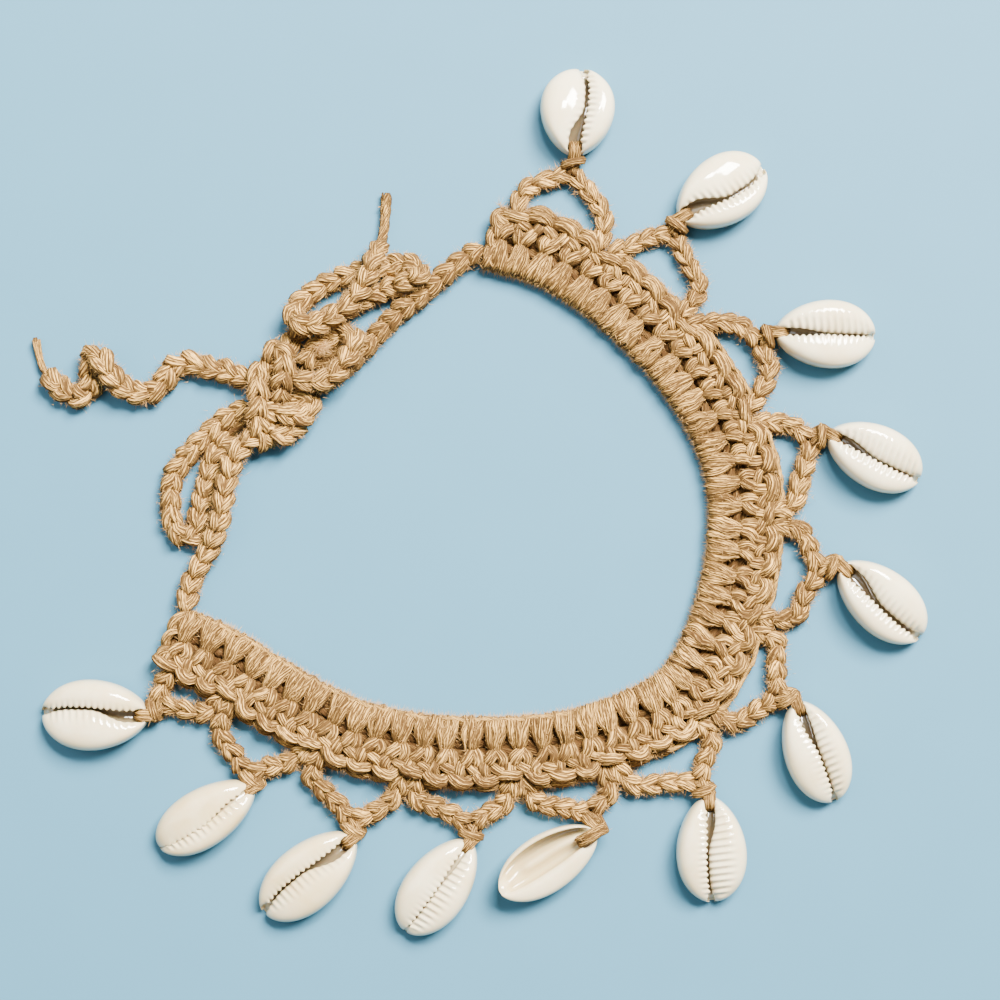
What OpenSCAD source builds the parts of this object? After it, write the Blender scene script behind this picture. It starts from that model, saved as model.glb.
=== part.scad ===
// Crochet anklet with cowrie shells, lying flat as it would on a table.
// Millimetres, +Z up, the table is z = 0, the origin is under the middle of the anklet.
// A flat crocheted band carries twelve chain loops with a cut cowrie on each,
// and two chain ties close the round in a bow.

/* [Band] */
// Width of the crocheted band
band_w = 13; // [12:0.2:13.6]
// Thickness of the band over its stitches
band_t = 4.2; // [3.6:0.1:4.8]
// Stitches from one end of the band to the other
stitch_count = 48; // [40:1:56]
// Height of a stitch rib over the groove beside it
rib = 0.4; // [0.1:0.1:0.6]
// How far the outer edge is drawn in where a chain is worked into it
edge_pull = 1.8; // [1.7:0.1:2.4]

/* [Chains] */
// Width of a crocheted chain
chain_w = 3.4; // [3:0.1:3.6]
// Thickness of a crocheted chain
chain_t = 2.8; // [2.4:0.1:3]
// Width of a chain where it is worked into the band
chain_end_w = 2.6; // [2.2:0.1:2.8]
// Thickness of the yarn that holds a shell
yarn_d = 1.5; // [1.2:0.1:1.6]
// Thickness of the round chain of the ties and tails
tie_d = 3.3; // [3:0.1:3.3]

/* [Shells] */
// Height of a cut cowrie over its cut back
shell_h = 5.2; // [4.8:0.1:5.6]
// Thickness of a shell's wall
shell_wall = 1.3; // [1:0.1:1.5]
// Width of the slit at the yarn's end
slit_wide = 2.3; // [2:0.1:2.6]
// Width of the slit at the far end
slit_narrow = 1.1; // [0.8:0.1:1.6]
// How far the yarn under a shell lifts that end
shell_lift = 1.9; // [1.8:0.1:2.2]

/* [Hidden] */

// Middle line of the band from its upper end, clockwise: x, y
BAND_ROUTE = [
    [1, 45.6], [9, 43.5], [16, 40], [23, 35], [29, 29.3], [34, 24], [38.5, 17.5],
    [42, 10.5], [44, 3], [44.3, -5], [42.8, -15], [39.5, -25], [34, -33.5], [25, -38.5],
    [14, -42], [0, -43], [-12, -42.3], [-24, -39.5], [-36, -33.2], [-45.5, -27.3],
    [-53.6, -24]
];
// Top of the band from its inner edge out: share of the width, share of the thickness, share of the rib
BAND_TOP = [
    [-0.5, 0.5, 0.2], [-0.4, 0.88, 1], [-0.12, 0.95, 1], [0.04, 0.78, 0.3], [0.18, 0.95, -1],
    [0.4, 1, -0.6], [0.5, 0.55, 0]
];
// Flat underside of the band from its outer edge in, as shares of the width
BAND_UNDER = [0.36, -0.36];

// A row for each chain loop and its shell, clockwise:
// share of the band's outer edge where the loop ends, x and y of its peak,
// x and y of the shell's yarn end, the way the shell points, its length and width
LOOPS = [
    [0.094, 14.6, 56.2, 15.1, 58.7, 86, 14.9, 12.2],
    [0.178, 31.9, 45.5, 32.3, 48.2, 33, 17, 11],
    [0.273, 46.4, 26.9, 48.8, 28.6, -2, 17.3, 11.6],
    [0.360, 55.3, 10.4, 57.9, 11.5, -26, 17.5, 10.8],
    [0.446, 56.7, -12, 60, -10.8, -41, 18.4, 10.9],
    [0.534, 49.4, -33.1, 52.5, -33.8, -69, 18.3, 10.8],
    [0.622, 36, -47.6, 37.7, -49.8, -87, 18.1, 11.9],
    [0.698, 17.6, -52.8, 18.6, -55.6, -147, 19.1, 9.8],
    [0.784, -2.3, -54.9, -2.5, -57.4, -126, 19.1, 10.9],
    [0.864, -22.7, -54.2, -22.2, -56.6, -139, 20.2, 11.2],
    [0.944, -40.6, -45.9, -39.2, -48.2, -148, 19.2, 9.9],
    [0.995, -55.2, -34.2, -56.8, -36.1, 180, 18.4, 12]
];
// How far the slit of each shell swings to the left of the way it points, in millimetres
SLIT_SWINGS = [-1.5, -1.8, -0.2, -0.7, -1.1, 0.3, -0.9, 0, 0, -1.4, 1, -1.4];
// The shell that lies on its mouth, with its cut back up
FLIPPED_SHELL = 7;
// Way of the yarn through a shell: distance along the shell, height
YARN_WAY = [
    [-1.3, 2.7], [0.2, 4.2], [1.6, 5.4], [2.9, 5], [3.6, 3.4], [3.3, 1.7], [2.1, 0.8],
    [0, 0.8], [-1.5, 1]
];
// Way of the yarn through the shell that lies on its mouth: distance along the shell, height
YARN_WAY_FLIPPED = [
    [-1.4, 1], [0.4, 0.8], [2.2, 0.9], [3.5, 1.7], [3.9, 3.5], [3.4, 5.4], [1.6, 6.4],
    [-0.4, 5.9], [-1.7, 3.8]
];

// Cross-section of a cowrie from rim to rim: share of the half width, share of the height
SHELL_ARCH = [
    [-1, 0], [-0.98, 0.35], [-0.87, 0.68], [-0.68, 0.93], [-0.42, 1], [-0.15, 0.82], [0.2, 0.99],
    [0.55, 0.96], [0.84, 0.7], [0.98, 0.35], [1, 0]
];
// Cross-section of the hollow of a cowrie, in the same shares
HOLLOW_ARCH = [[-1, -0.1], [-0.9, 0.6], [-0.5, 1], [0.5, 1], [0.9, 0.6], [1, -0.1]];
// Places along a cowrie where its outside is measured, as shares of its length
SHELL_STATIONS = [0.012, 0.05, 0.12, 0.24, 0.38, 0.52, 0.66, 0.79, 0.89, 0.96, 0.99];
HOLLOW_STATIONS = [0.1, 0.16, 0.28, 0.5, 0.72, 0.85, 0.91];
SLIT_STATIONS = [-0.02, 0.06, 0.11, 0.2, 0.35, 0.55, 0.75, 0.88, 0.94, 1.02];

// Routes of the ties: x, y, height of the middle, thickness as a share of the tie's
UPPER_TIE_ROUTE = [
    [-0.8, 42.7, 2, 0.8], [-2.4, 41.8, 1.7, 1], [-5.2, 39.8, 1.7, 1], [-8, 37.5, 1.7, 1],
    [-11.1, 34.9, 1.7, 1], [-14.3, 32.4, 1.7, 1], [-17.3, 29.5, 1.7, 1], [-19.7, 26.8, 1.7, 1],
    [-22, 24.3, 1.7, 1], [-24.8, 22, 1.7, 1], [-27.4, 20.3, 1.7, 1], [-29.9, 19.1, 1.7, 0.9]
];
LOWER_TIE_ROUTE = [
    [-50.8, -18.3, 2, 0.8], [-50.4, -16, 1.7, 1], [-49.5, -13.2, 1.7, 1], [-48.4, -11, 1.7, 1],
    [-47, -8.9, 2, 1], [-45.8, -6.2, 3, 1], [-44.8, -3, 3.6, 1], [-44.1, 0.8, 3.8, 1],
    [-43.3, 4.5, 3.8, 1], [-42.2, 7.6, 3.8, 1], [-40.8, 9.6, 3.8, 1], [-39.1, 11.2, 3.8, 0.9]
];
// Routes of the free bows and tails, in the same columns
UPPER_BOW_ROUTE = [
    [-31.9, 20.4, 6, 0.9], [-29.4, 20.2, 5.6, 1], [-27, 20.5, 5.2, 1], [-24.7, 22.1, 5.1, 1],
    [-22.7, 24.8, 5.1, 1],
    [-22, 27.4, 4.4, 1], [-23.5, 28.7, 2.8, 0.9], [-25.5, 27.9, 1.7, 0.9], [-27.9, 26.6, 1.7, 0.9],
    [-29.6, 25, 1.7, 0.9], [-30.7, 23.3, 1.7, 0.9]
];
UPPER_TAIL_ROUTE = [
    [-33.5, 25, 1.6, 0.9], [-32.8, 27.6, 1.6, 0.9], [-30.6, 29.6, 1.6, 0.9],
    [-27.4, 31, 1.6, 0.9], [-24.4, 32, 1.6, 0.9],
    [-21.7, 33.4, 1.7, 1], [-18.3, 35.2, 1.7, 1], [-15.4, 36.4, 2, 1],
    [-13, 37, 3.7, 1], [-11.1, 38.2, 4.2, 1], [-12, 39.8, 3.2, 1], [-14.3, 40.1, 1.9, 1],
    [-17, 39.8, 1.7, 1], [-20.5, 39.2, 1.7, 1], [-24.5, 37.9, 1.7, 1], [-28, 36.2, 1.7, 1],
    [-30.8, 34.2, 2.2, 1], [-32.4, 32, 3.6, 1], [-31.4, 30, 5, 1], [-29, 29.6, 5.1, 1],
    [-26.4, 30.6, 5.1, 1], [-23.9, 32.3, 5.1, 1], [-21.8, 34.5, 5.1, 1], [-20.3, 36.8, 5.1, 1],
    [-19.2, 39.3, 5.1, 1], [-18.3, 41.8, 3.8, 0.9], [-17.5, 44.2, 2, 0.7],
    [-17, 47, 1.3, 0.6], [-16.8, 50, 1.2, 0.6], [-16.6, 52.3, 1.2, 0.6]
];
LOWER_BOW_ROUTE = [
    [-40.2, 16, 1.9, 0.9], [-44.4, 13.7, 1.7, 1], [-47.4, 11, 1.7, 1], [-50.4, 8, 1.7, 1],
    [-52.6, 4.9, 1.7, 1], [-53.3, 1.6, 1.7, 1], [-53.2, -1.6, 1.7, 1], [-52.6, -4.3, 1.7, 1],
    [-50.8, -6.3, 1.7, 1], [-49, -5, 1.7, 1], [-48.5, -2.2, 1.7, 1], [-47.7, 1, 1.7, 1],
    [-47, 4, 1.7, 1], [-46.1, 7, 1.7, 1], [-45, 9.2, 1.7, 1], [-43.4, 10.8, 1.7, 0.9]
];
LEFT_TAIL_ROUTE = [
    [-39.9, 20.4, 1.8, 0.9], [-43.8, 22, 1.7, 1], [-47.6, 22.9, 1.7, 1], [-51, 23.5, 1.7, 1],
    [-53.4, 22.5, 1.7, 1], [-54.4, 20.4, 1.7, 1], [-56, 18.7, 1.7, 1], [-58.6, 18.2, 1.7, 1],
    [-61.5, 19.4, 2.6, 1], [-63.5, 21.8, 4.4, 1], [-64.9, 24.2, 4.4, 1], [-66.4, 24.6, 2.8, 1],
    [-66.9, 22.4, 1.7, 1], [-66.8, 19.8, 1.7, 1], [-68, 17.9, 1.7, 1], [-70.2, 18.1, 1.7, 1],
    [-72.2, 19.6, 1.7, 1], [-74, 21.2, 1.5, 0.8], [-75.4, 23.4, 1, 0.5], [-76.4, 27.8, 1, 0.5]
];
// Strands that the knot is made of, in the same columns
KNOT_STRANDS = [
    [[-38.1, 22.2, 4.2, 1.05], [-38.5, 19, 5.2, 1.1], [-38, 15.5, 5.2, 1.1], [-37, 11.6, 3.6, 1]],
    [[-38, 22.4, 3.4, 1], [-36.6, 25, 3.6, 1], [-34.7, 24.6, 5, 1.05], [-34, 21.2, 5.8, 1.1],
        [-34, 17.6, 5.6, 1]],
    [[-37, 16.2, 4.4, 1], [-33.2, 16.8, 5.4, 1.05], [-30.4, 15.7, 4.2, 1], [-30.8, 13.7, 3, 1]],
    [[-37.6, 12.4, 3.4, 1.1], [-34.4, 12.2, 3.8, 1.1], [-31.9, 12.9, 3, 1]]
];
// Middle and half sizes of the wound heart of the knot
KNOT_HEART = [-34.6, 16.8, 2.6];
KNOT_HEART_SIZE = [4.6, 7.2, 2.6];

CORD_SIDES = 8;
HEART_SIDES = 10;
HEART_RINGS = 6;
// Curve steps between two points of the band's route
ROUTE_STEPS = 12;
BAND_RINGS = 2 * stitch_count + 1;
// The band's ends: their share of the width, and over how many rings it grows to the whole
END_SHARE = 0.86;
END_RINGS = 2;
// Beyond this share of the width the outer edge is drawn in at the joints
EDGE_FROM = 0.3;
// Reach of that pull along the edge, and how steep its flanks are
JOINT_REACH = 3.2;
JOINT_FLANK = 1.6;
// Share of the outer edge where the first chain loop starts
FIRST_JOINT = 0.012;
// A chain leg's outward bulge, and how much higher it lies at its joint
LEG_BULGE = 0.7;
JOINT_RISE = 0.4;
// Distances before the peak where a leg starts to thin and where it has the yarn's thickness
PEAK_TAPER = 2.2;
PEAK_GAP = 1;
// Half the gap between two chains at a joint, and the gap under a chain
TOUCH_GAP = 0.15;
FLOOR_GAP = 0.05;
// How far the yarn's two strands lie to the left and right of a shell's middle
YARN_LEAN = 0.3;
// A shell's wider far half, how its sides and its height round off, and its slit,
// where along the shell it swings to one side and partly back
SHELL_SKEW = 0.1;
SHELL_SIDES = 0.55;
SHELL_ROUND = 0.35;
SLIT_OUT = [0.15, 0.55];
SLIT_BACK = [0.7, 1];
SLIT_TAPER = [0.25, 0.65];
SLIT_FLARE = 0.6;
NOTCH_DEPTH = 0.9;

// Point on a smooth curve through four route points, between the second and the third
function curve_point(a, b, c, d, t) =
    0.5 * (2 * b + (c - a) * t + (2 * a - 5 * b + 4 * c - d) * t * t
        + (3 * b - a - 3 * c + d) * t * t * t);

// Smooth curve through all points of a route
function curve(route, steps) =
    let (
        last = len(route) - 1,
        before = 2 * route[0] - route[1],
        after = 2 * route[last] - route[last - 1],
        full = concat([before], route, [after])
    )
    concat(
        [for (i = [1:last], k = [0:steps - 1])
            curve_point(full[i - 1], full[i], full[i + 1], full[i + 2], k / steps)],
        [route[last]]
    );

// Distance from the start of a line to each of its points
function lengths_along(line) =
    [for (i = 0, d = 0; i < len(line); i = i + 1,
        d = i < len(line) ? d + norm(line[i] - line[i - 1]) : d) d];

// Point at a distance along a line
function point_at(line, lengths, d) =
    let (
        inside = [for (i = [1:len(line) - 1]) if (lengths[i] >= d) i],
        i = len(inside) > 0 ? inside[0] : len(line) - 1,
        share = (d - lengths[i - 1]) / (lengths[i] - lengths[i - 1])
    )
    line[i - 1] + (line[i] - line[i - 1]) * share;

// Evenly spaced points on a line
function even_points(line, count) =
    let (lengths = lengths_along(line), whole = lengths[len(lengths) - 1])
    [for (k = [0:count - 1]) point_at(line, lengths, whole * k / (count - 1))];

// Direction of a line at one of its points
function heading(line, i) =
    let (d = line[min(i + 1, len(line) - 1)] - line[max(i - 1, 0)])
    d / norm(d);

// Flat direction to the left of a heading
function left_of(h) = [-h[1], h[0], 0] / norm([h[0], h[1]]);

band_line = even_points(curve(BAND_ROUTE, ROUTE_STEPS), BAND_RINGS);
outer_edge = [for (i = [0:BAND_RINGS - 1])
    let (out = left_of(heading(band_line, i)))
    band_line[i] + [out[0], out[1]] * band_w / 2];
outer_lengths = lengths_along(outer_edge);
outer_whole = outer_lengths[BAND_RINGS - 1];
joint_shares = concat([FIRST_JOINT], [for (row = LOOPS) row[0]]);
joints = [for (s = joint_shares) point_at(outer_edge, outer_lengths, outer_whole * s)];
joint_ways = [for (i = [0:len(joints) - 1]) heading(joints, i)];

// Closed solid through rings of points, with flat ends
module skin(rings) {
    n = len(rings[0]);
    m = len(rings);
    walls = [for (i = [0:m - 2], j = [0:n - 1])
        let (a = i * n + j, b = i * n + (j + 1) % n)
        each [[a, b, b + n], [a, b + n, a + n]]];
    ends = [[for (j = [n - 1:-1:0]) j], [for (j = [0:n - 1]) (m - 1) * n + j]];
    polyhedron([for (ring = rings) each ring], concat(walls, ends));
}

// Ring of points around a point of a cord, across its heading
function cord_ring(point, h, wide, tall) = tilted_ring(point, h, left_of(h), wide, tall);

// The same with a given direction to the side
function tilted_ring(point, h, side, wide, tall) =
    let (up = cross(h, side) / norm(cross(h, side)))
    [for (k = [0:CORD_SIDES - 1])
        let (turn = -360 * (k + 0.5) / CORD_SIDES)
        point + side * cos(turn) * wide / 2 + up * sin(turn) * tall / 2];

// Cord along a route with columns x, y, height and share of the thickness
module cord(route, thick) {
    line = [for (row = route) [row[0], row[1], row[2]]];
    skin([for (i = [0:len(route) - 1])
        cord_ring(line[i], heading(line, i), thick * route[i][3], thick * route[i][3])]);
}

// How near a point of the outer edge lies to a chain's joint, 1 at the joint and 0 away from it
function joint_near(p) =
    max([for (j = joints) max(0, min(1, JOINT_FLANK * (1 - norm(p - j) / JOINT_REACH)))]);

// The flat crocheted band: ribs across it, a groove along it and a raised outer braid
module band() {
    color("burlywood")
    skin([for (i = [0:BAND_RINGS - 1])
        let (
            out = left_of(heading(band_line, i)),
            crest = i % 2 == 0 ? rib : 0,
            pull = edge_pull * joint_near(outer_edge[i]),
            from_end = min(i, BAND_RINGS - 1 - i),
            wide = band_w * min(1, END_SHARE + (1 - END_SHARE) * from_end / END_RINGS),
            top = [for (row = BAND_TOP) [
                row[0] * wide - (row[0] > EDGE_FROM ? pull : 0),
                row[1] * band_t + row[2] * (crest - rib / 2)]],
            under = [for (share = BAND_UNDER) [share * wide - (share > EDGE_FROM ? pull : 0), 0]],
            section = concat(top, under)
        )
        [for (p = section) [
            band_line[i][0] + out[0] * p[0],
            band_line[i][1] + out[1] * p[0],
            p[1]]]]);
}

// Flat direction across a shell, to the left of the way it points
function across_shell(row) = [-sin(row[5]), cos(row[5]), 0];

// Point at a distance along a shell, a distance to its left and a height
function on_shell(row, along, left, height) =
    [row[3] + along * cos(row[5]), row[4] + along * sin(row[5]), height] + left * across_shell(row);

// Rings of one leg of a chain loop from a joint to its peak; back counts them for the way back
function leg_rings(i, joint, back) =
    let (
        peak = [LOOPS[i][1], LOOPS[i][2]],
        middle = (joints[i] + joints[i + 1]) / 2,
        bulge = (peak - middle) / norm(peak - middle) * LEG_BULGE,
        along = joint_ways[joint] * (back ? -1 : 1),
        start = joints[joint] + along * TOUCH_GAP,
        low = chain_t / 2 + FLOOR_GAP,
        way = peak - start,
        reach = norm(way),
        shares = [0, 0.35, 0.7, 1 - PEAK_TAPER / reach, 1 - PEAK_GAP / reach],
        line = [for (s = shares)
            let (p = start + way * s + bulge * sin(180 * s))
            [p[0], p[1], low + JOINT_RISE * (1 - s)]],
        wide = [chain_end_w, chain_w, chain_w, chain_w, yarn_d],
        tall = [chain_t, chain_t, chain_t, chain_t, yarn_d],
        rings = [for (k = [0:len(line) - 1])
            cord_ring(line[k], k == 0 ? [along[0], along[1], 0] : heading(line, k), wide[k], tall[k])]
    )
    back ? [for (k = [len(rings) - 1:-1:0]) mirrored_ring(rings[k])] : rings;

// The same ring counted the other way round, for a cord that comes back upside down
function mirrored_ring(ring) =
    [for (k = [0:len(ring) - 1]) ring[len(ring) - 1 - k]];

// Rings of the yarn from the peak over and under the end of a shell and back, side by side
function yarn_rings(i) =
    let (
        row = LOOPS[i],
        way = i == FLIPPED_SHELL ? YARN_WAY_FLIPPED : YARN_WAY,
        last = len(way) - 1,
        line = [for (k = [0:last])
            on_shell(row, way[k][0], YARN_LEAN * (1 - 2 * k / last), way[k][1])]
    )
    [for (k = [0:last])
        tilted_ring(line[k], heading(line, k), across_shell(row), yarn_d, yarn_d)];

// One chain loop: its first leg, the yarn through the shell and its second leg, all one cord
module scallop(i) {
    color("burlywood")
    skin(concat(
        leg_rings(i, i, false),
        yarn_rings(i),
        leg_rings(i, i + 1, true)
    ));
}

// Half width and height of a cowrie at a share of its length
function shell_half(t, wide) =
    wide / 2 * pow(1 - pow(2 * t - 1, 2), SHELL_SIDES) * (1 + SHELL_SKEW * (2 * t - 1));
function shell_top(t) = shell_h * pow(4 * t * (1 - t), SHELL_ROUND);

// Ring of a cowrie's cross-section at a share of its length
function shell_ring(t, long, half, top, arch) =
    [for (p = arch) [t * long, p[0] * half, p[1] * top]];

// Soft step from 0 to 1 between two values
function soft_step(x, ends) =
    let (c = min(1, max(0, (x - ends[0]) / (ends[1] - ends[0]))))
    c * c * (3 - 2 * c);

// The slit between the two lips, narrower and shallower towards the far end
module slit(long, swing) {
    skin([for (t = SLIT_STATIONS)
        let (
            inner = t > 0.1 && t < 0.9,
            u = min(0.99, max(0.01, t)),
            bow = swing * (soft_step(t, SLIT_OUT) - soft_step(t, SLIT_BACK) / 2),
            narrowing = min(1, max(0, (t - SLIT_TAPER[0]) / (SLIT_TAPER[1] - SLIT_TAPER[0]))),
            gap = slit_wide + (slit_narrow - slit_wide) * narrowing,
            low = shell_top(u) - (inner ? 2 * shell_wall : NOTCH_DEPTH)
        )
        [
            [t * long, bow + gap / 2, low],
            [t * long, bow - gap / 2, low],
            [t * long, bow - gap * SLIT_FLARE, 1.2 * shell_h],
            [t * long, bow + gap * SLIT_FLARE, 1.2 * shell_h]
        ]]);
}

// One cowrie with its back cut off: hollow, its mouth up, its yarn end at the origin
module cowrie(long, wide, swing) {
    difference() {
        skin([for (t = SHELL_STATIONS)
            shell_ring(t, long, shell_half(t, wide), shell_top(t), SHELL_ARCH)]);
        skin([for (t = HOLLOW_STATIONS)
            shell_ring(t, long, shell_half(t, wide) - shell_wall,
                shell_top(t) - shell_wall, HOLLOW_ARCH)]);
        slit(long, swing);
    }
}

// A cowrie in its place, lifted at its yarn end, or on its mouth
module shell(i) {
    row = LOOPS[i];
    swing = SLIT_SWINGS[i];
    color("seashell")
    translate([row[3], row[4], 0])
    rotate([0, 0, row[5]])
    if (i == FLIPPED_SHELL)
        translate([0, 0, shell_h]) rotate([180, 0, 0]) cowrie(row[6], row[7], swing);
    else
        translate([0, 0, shell_lift]) rotate([0, asin(shell_lift / row[6]), 0])
            cowrie(row[6], row[7], swing);
}

// The knot: a wound heart with the strands that cross over it
module knot() {
    color("burlywood")
    union() {
        skin([for (i = [0:HEART_RINGS])
            let (
                a = 170 * i / HEART_RINGS - 85,
                y = KNOT_HEART[1] + KNOT_HEART_SIZE[1] * sin(a),
                r = cos(a)
            )
            [for (k = [0:HEART_SIDES - 1])
                let (turn = 360 * k / HEART_SIDES)
                [
                    KNOT_HEART[0] + KNOT_HEART_SIZE[0] * r * cos(turn),
                    y,
                    KNOT_HEART[2] + KNOT_HEART_SIZE[2] * r * sin(turn)
                ]]]);
        for (strand = KNOT_STRANDS)
            cord(strand, tie_d);
    }
}

module upper_tie() {
    color("burlywood") cord(UPPER_TIE_ROUTE, tie_d);
}

module lower_tie() {
    color("burlywood") cord(LOWER_TIE_ROUTE, tie_d);
}

module upper_bow() {
    color("burlywood") cord(UPPER_BOW_ROUTE, tie_d);
}

module upper_tail() {
    color("burlywood") cord(UPPER_TAIL_ROUTE, tie_d);
}

module lower_bow() {
    color("burlywood") cord(LOWER_BOW_ROUTE, tie_d);
}

module left_tail() {
    color("burlywood") cord(LEFT_TAIL_ROUTE, tie_d);
}

band();
for (i = [0:len(LOOPS) - 1]) {
    scallop(i);
    shell(i);
}
upper_tie();
lower_tie();
knot();
upper_bow();
upper_tail();
lower_bow();
left_tail();
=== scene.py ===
import math
from collections import namedtuple

import bpy
import numpy as np
from bpy.props import FloatProperty, FloatVectorProperty, IntProperty, PointerProperty
from bpy.types import Operator, Panel, PropertyGroup
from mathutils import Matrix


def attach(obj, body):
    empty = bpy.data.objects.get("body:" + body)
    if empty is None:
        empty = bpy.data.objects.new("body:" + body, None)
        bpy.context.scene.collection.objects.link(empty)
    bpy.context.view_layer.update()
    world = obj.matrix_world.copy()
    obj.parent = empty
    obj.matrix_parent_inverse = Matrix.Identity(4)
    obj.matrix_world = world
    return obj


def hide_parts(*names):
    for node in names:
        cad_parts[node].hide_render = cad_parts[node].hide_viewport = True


bl_info = {
    "name": "Crochet Anklet",
    "version": (1, 0, 0),
    "blender": (4, 5, 0),
    "location": "3D View > Sidebar > Anklet",
    "description": "Makes a crocheted cotton anklet with cut cowries, laid flat and tied in a bow",
    "category": "Add Mesh",
}

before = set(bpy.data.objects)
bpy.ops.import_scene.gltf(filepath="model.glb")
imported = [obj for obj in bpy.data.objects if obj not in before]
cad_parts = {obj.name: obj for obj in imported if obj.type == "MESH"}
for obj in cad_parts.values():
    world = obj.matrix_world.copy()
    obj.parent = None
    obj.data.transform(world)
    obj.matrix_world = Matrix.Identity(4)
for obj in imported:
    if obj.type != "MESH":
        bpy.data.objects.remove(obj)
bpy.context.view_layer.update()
MM = 0.001
UP = (0, 0, 1)
# A whole turn in radians, for random angles
FULL_TURN = 6.28
# Least height of a point over the floor in millimetres
FLOOR_GAP = 0.02
# Place along a strand that marks a stray fibre, its paleness and its faces
FIBRE_MARK = -50.0
FIBRE_TONE = 0.85
FIBRE_FACES = [[2, 1, 0], [0, 1, 3], [1, 2, 3], [2, 0, 3]]
# Numbers of stray fibres; those of cords and of a chain's two edges are for each millimetre
PIECE_FIBRES = 700
CORD_FIBRES = 16
EDGE_FIBRES = 44
FRAYED_FIBRES = 420
POST_FIBRES = 9000
BRAID_FIBRES = 7000
# Fuzz of the band's inner and outer edge: the way it leans, millimetres from the edge, fibres
FRINGES = [[-1, 0.5, 17000], [1, 1.1, 9000]]
# Seed of each piece's random draws
SEEDS = {
    "upper_bow_chain": 11, "upper_tail_chain": 12, "lower_bow_chain": 13, "left_tail_chain": 14,
    "band_posts": 21, "band_braid": 22, "band_inner": 23, "band_fringe": 24,
    "upper_tie_chain": 31, "lower_tie_chain": 32, "knot_chains": 35,
    **{f"scallop_{i + 1:02d}_chain": 40 + i for i in range(12)},
}

# Middle line of the band from its upper end, clockwise, in millimetres: x, y
BAND_ROUTE = [
    [1, 45.6], [9, 43.5], [16, 40], [23, 35], [29, 29.3], [34, 24], [38.5, 17.5], [42, 10.5], [44, 3],
    [44.3, -5], [42.8, -15], [39.5, -25], [34, -33.5], [25, -38.5], [14, -42], [0, -43], [-12, -42.3],
    [-24, -39.5], [-36, -33.2], [-45.5, -27.3], [-53.6, -24],
]
# Each chain loop and its shell, clockwise, in millimetres and degrees: share of the band's outer edge
# where the loop ends, its peak, the shell's yarn end, the way it points, its length and width
LOOPS = [
    [0.094, 14.7, 55.8, 15, 58.3, 86, 15, 12.6],
    [0.178, 31.9, 45.3, 32.7, 47.7, 33, 17, 11.8],
    [0.273, 46.4, 26.9, 48.8, 28.6, -2, 17.3, 11.6],
    [0.360, 55.3, 10.4, 57.9, 11.5, -26, 17.5, 10.8],
    [0.446, 56.7, -12, 60, -10.8, -41, 18.4, 10.9],
    [0.534, 49.4, -33.1, 52.5, -33.8, -69, 18.3, 10.8],
    [0.622, 36, -47.6, 37.7, -49.8, -87, 18.1, 11.9],
    [0.698, 17.6, -52.8, 18.6, -55.6, -147, 19.1, 9.8],
    [0.784, -2.3, -54.9, -2.5, -57.4, -126, 19.1, 10.9],
    [0.864, -22.7, -54.2, -22.2, -56.6, -139, 20.2, 11.2],
    [0.944, -40.6, -45.9, -39.2, -48.2, -148, 19.2, 9.9],
    [0.995, -55.2, -34.2, -56.8, -36.1, 180, 18.4, 12],
]
# Each shell's slit: how far it swings to the left, its width near the yarn and in the middle in
# millimetres; ridges on the left lobe, teeth on the right one, creaminess
SHELL_LOOKS = [
    [-1.5, 2.4, 0.9, 0.2, 1, 0], [-1.8, 2.3, 0.8, 0.45, 0.9, 0.05], [-0.2, 1.5, 0.6, 0.9, 0.25, 0.05],
    [-0.7, 1.6, 0.6, 0.9, 1, 0], [-1.1, 2.2, 0.9, 0.55, 0.9, 0.05], [0.3, 1.8, 0.55, 0.75, 0.3, 0.1],
    [-0.9, 1.7, 0.65, 1, 0.5, 0.1], [0, 1.6, 0.5, 0, 0, 0.15], [0, 1, 0.3, 0.8, 0.15, 0.15],
    [-1.4, 2.1, 0.65, 0.5, 0.1, 0.3], [1, 0.8, 0.16, 0.6, 0, 0.35], [-1.4, 2.2, 0.75, 0.45, 0.2, 0.2],
]
# A cross-section of a cowrie: millimetres from its yarn end, the same as a share of its length, its
# half width and height, the slit's middle, width and floor, and how clear the teeth are
Cut = namedtuple("Cut", "along share half top middle gap floor worn")
# The shell that lies with its cut back up
FLIPPED_SHELL = 7
# Share of the band's outer edge where the first chain loop starts
FIRST_JOINT = 0.012
# Where the yarn runs over, into and under the end of a shell: distance along it, height
YARN_WAY = [
    [-1.2, 2.5], [-0.3, 3.2], [0.5, 3.8], [1.2, 3.8], [1.8, 3.2], [2, 2.2], [1.6, 1.3], [0, 0.9],
    [-1.5, 1],
]
YARN_WAY_FLIPPED = [
    [-1.4, 1], [0.4, 0.8], [2, 0.9], [3, 1.7], [3.3, 3.5], [2.8, 5.2], [1.3, 6.1], [-0.4, 5.6],
    [-1.6, 3.6],
]
# Turn of the yarn that closes a chain's peak: millimetres towards the shell, to its left, height
PEAK_TURN = [
    [0.7, -1.6, 1.2], [0.6, -1.4, 2.6], [0.3, -0.5, 3.5], [-0.1, 0.5, 3.6], [-0.5, 1.4, 2.7],
    [-0.7, 1.6, 1.2],
]

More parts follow.
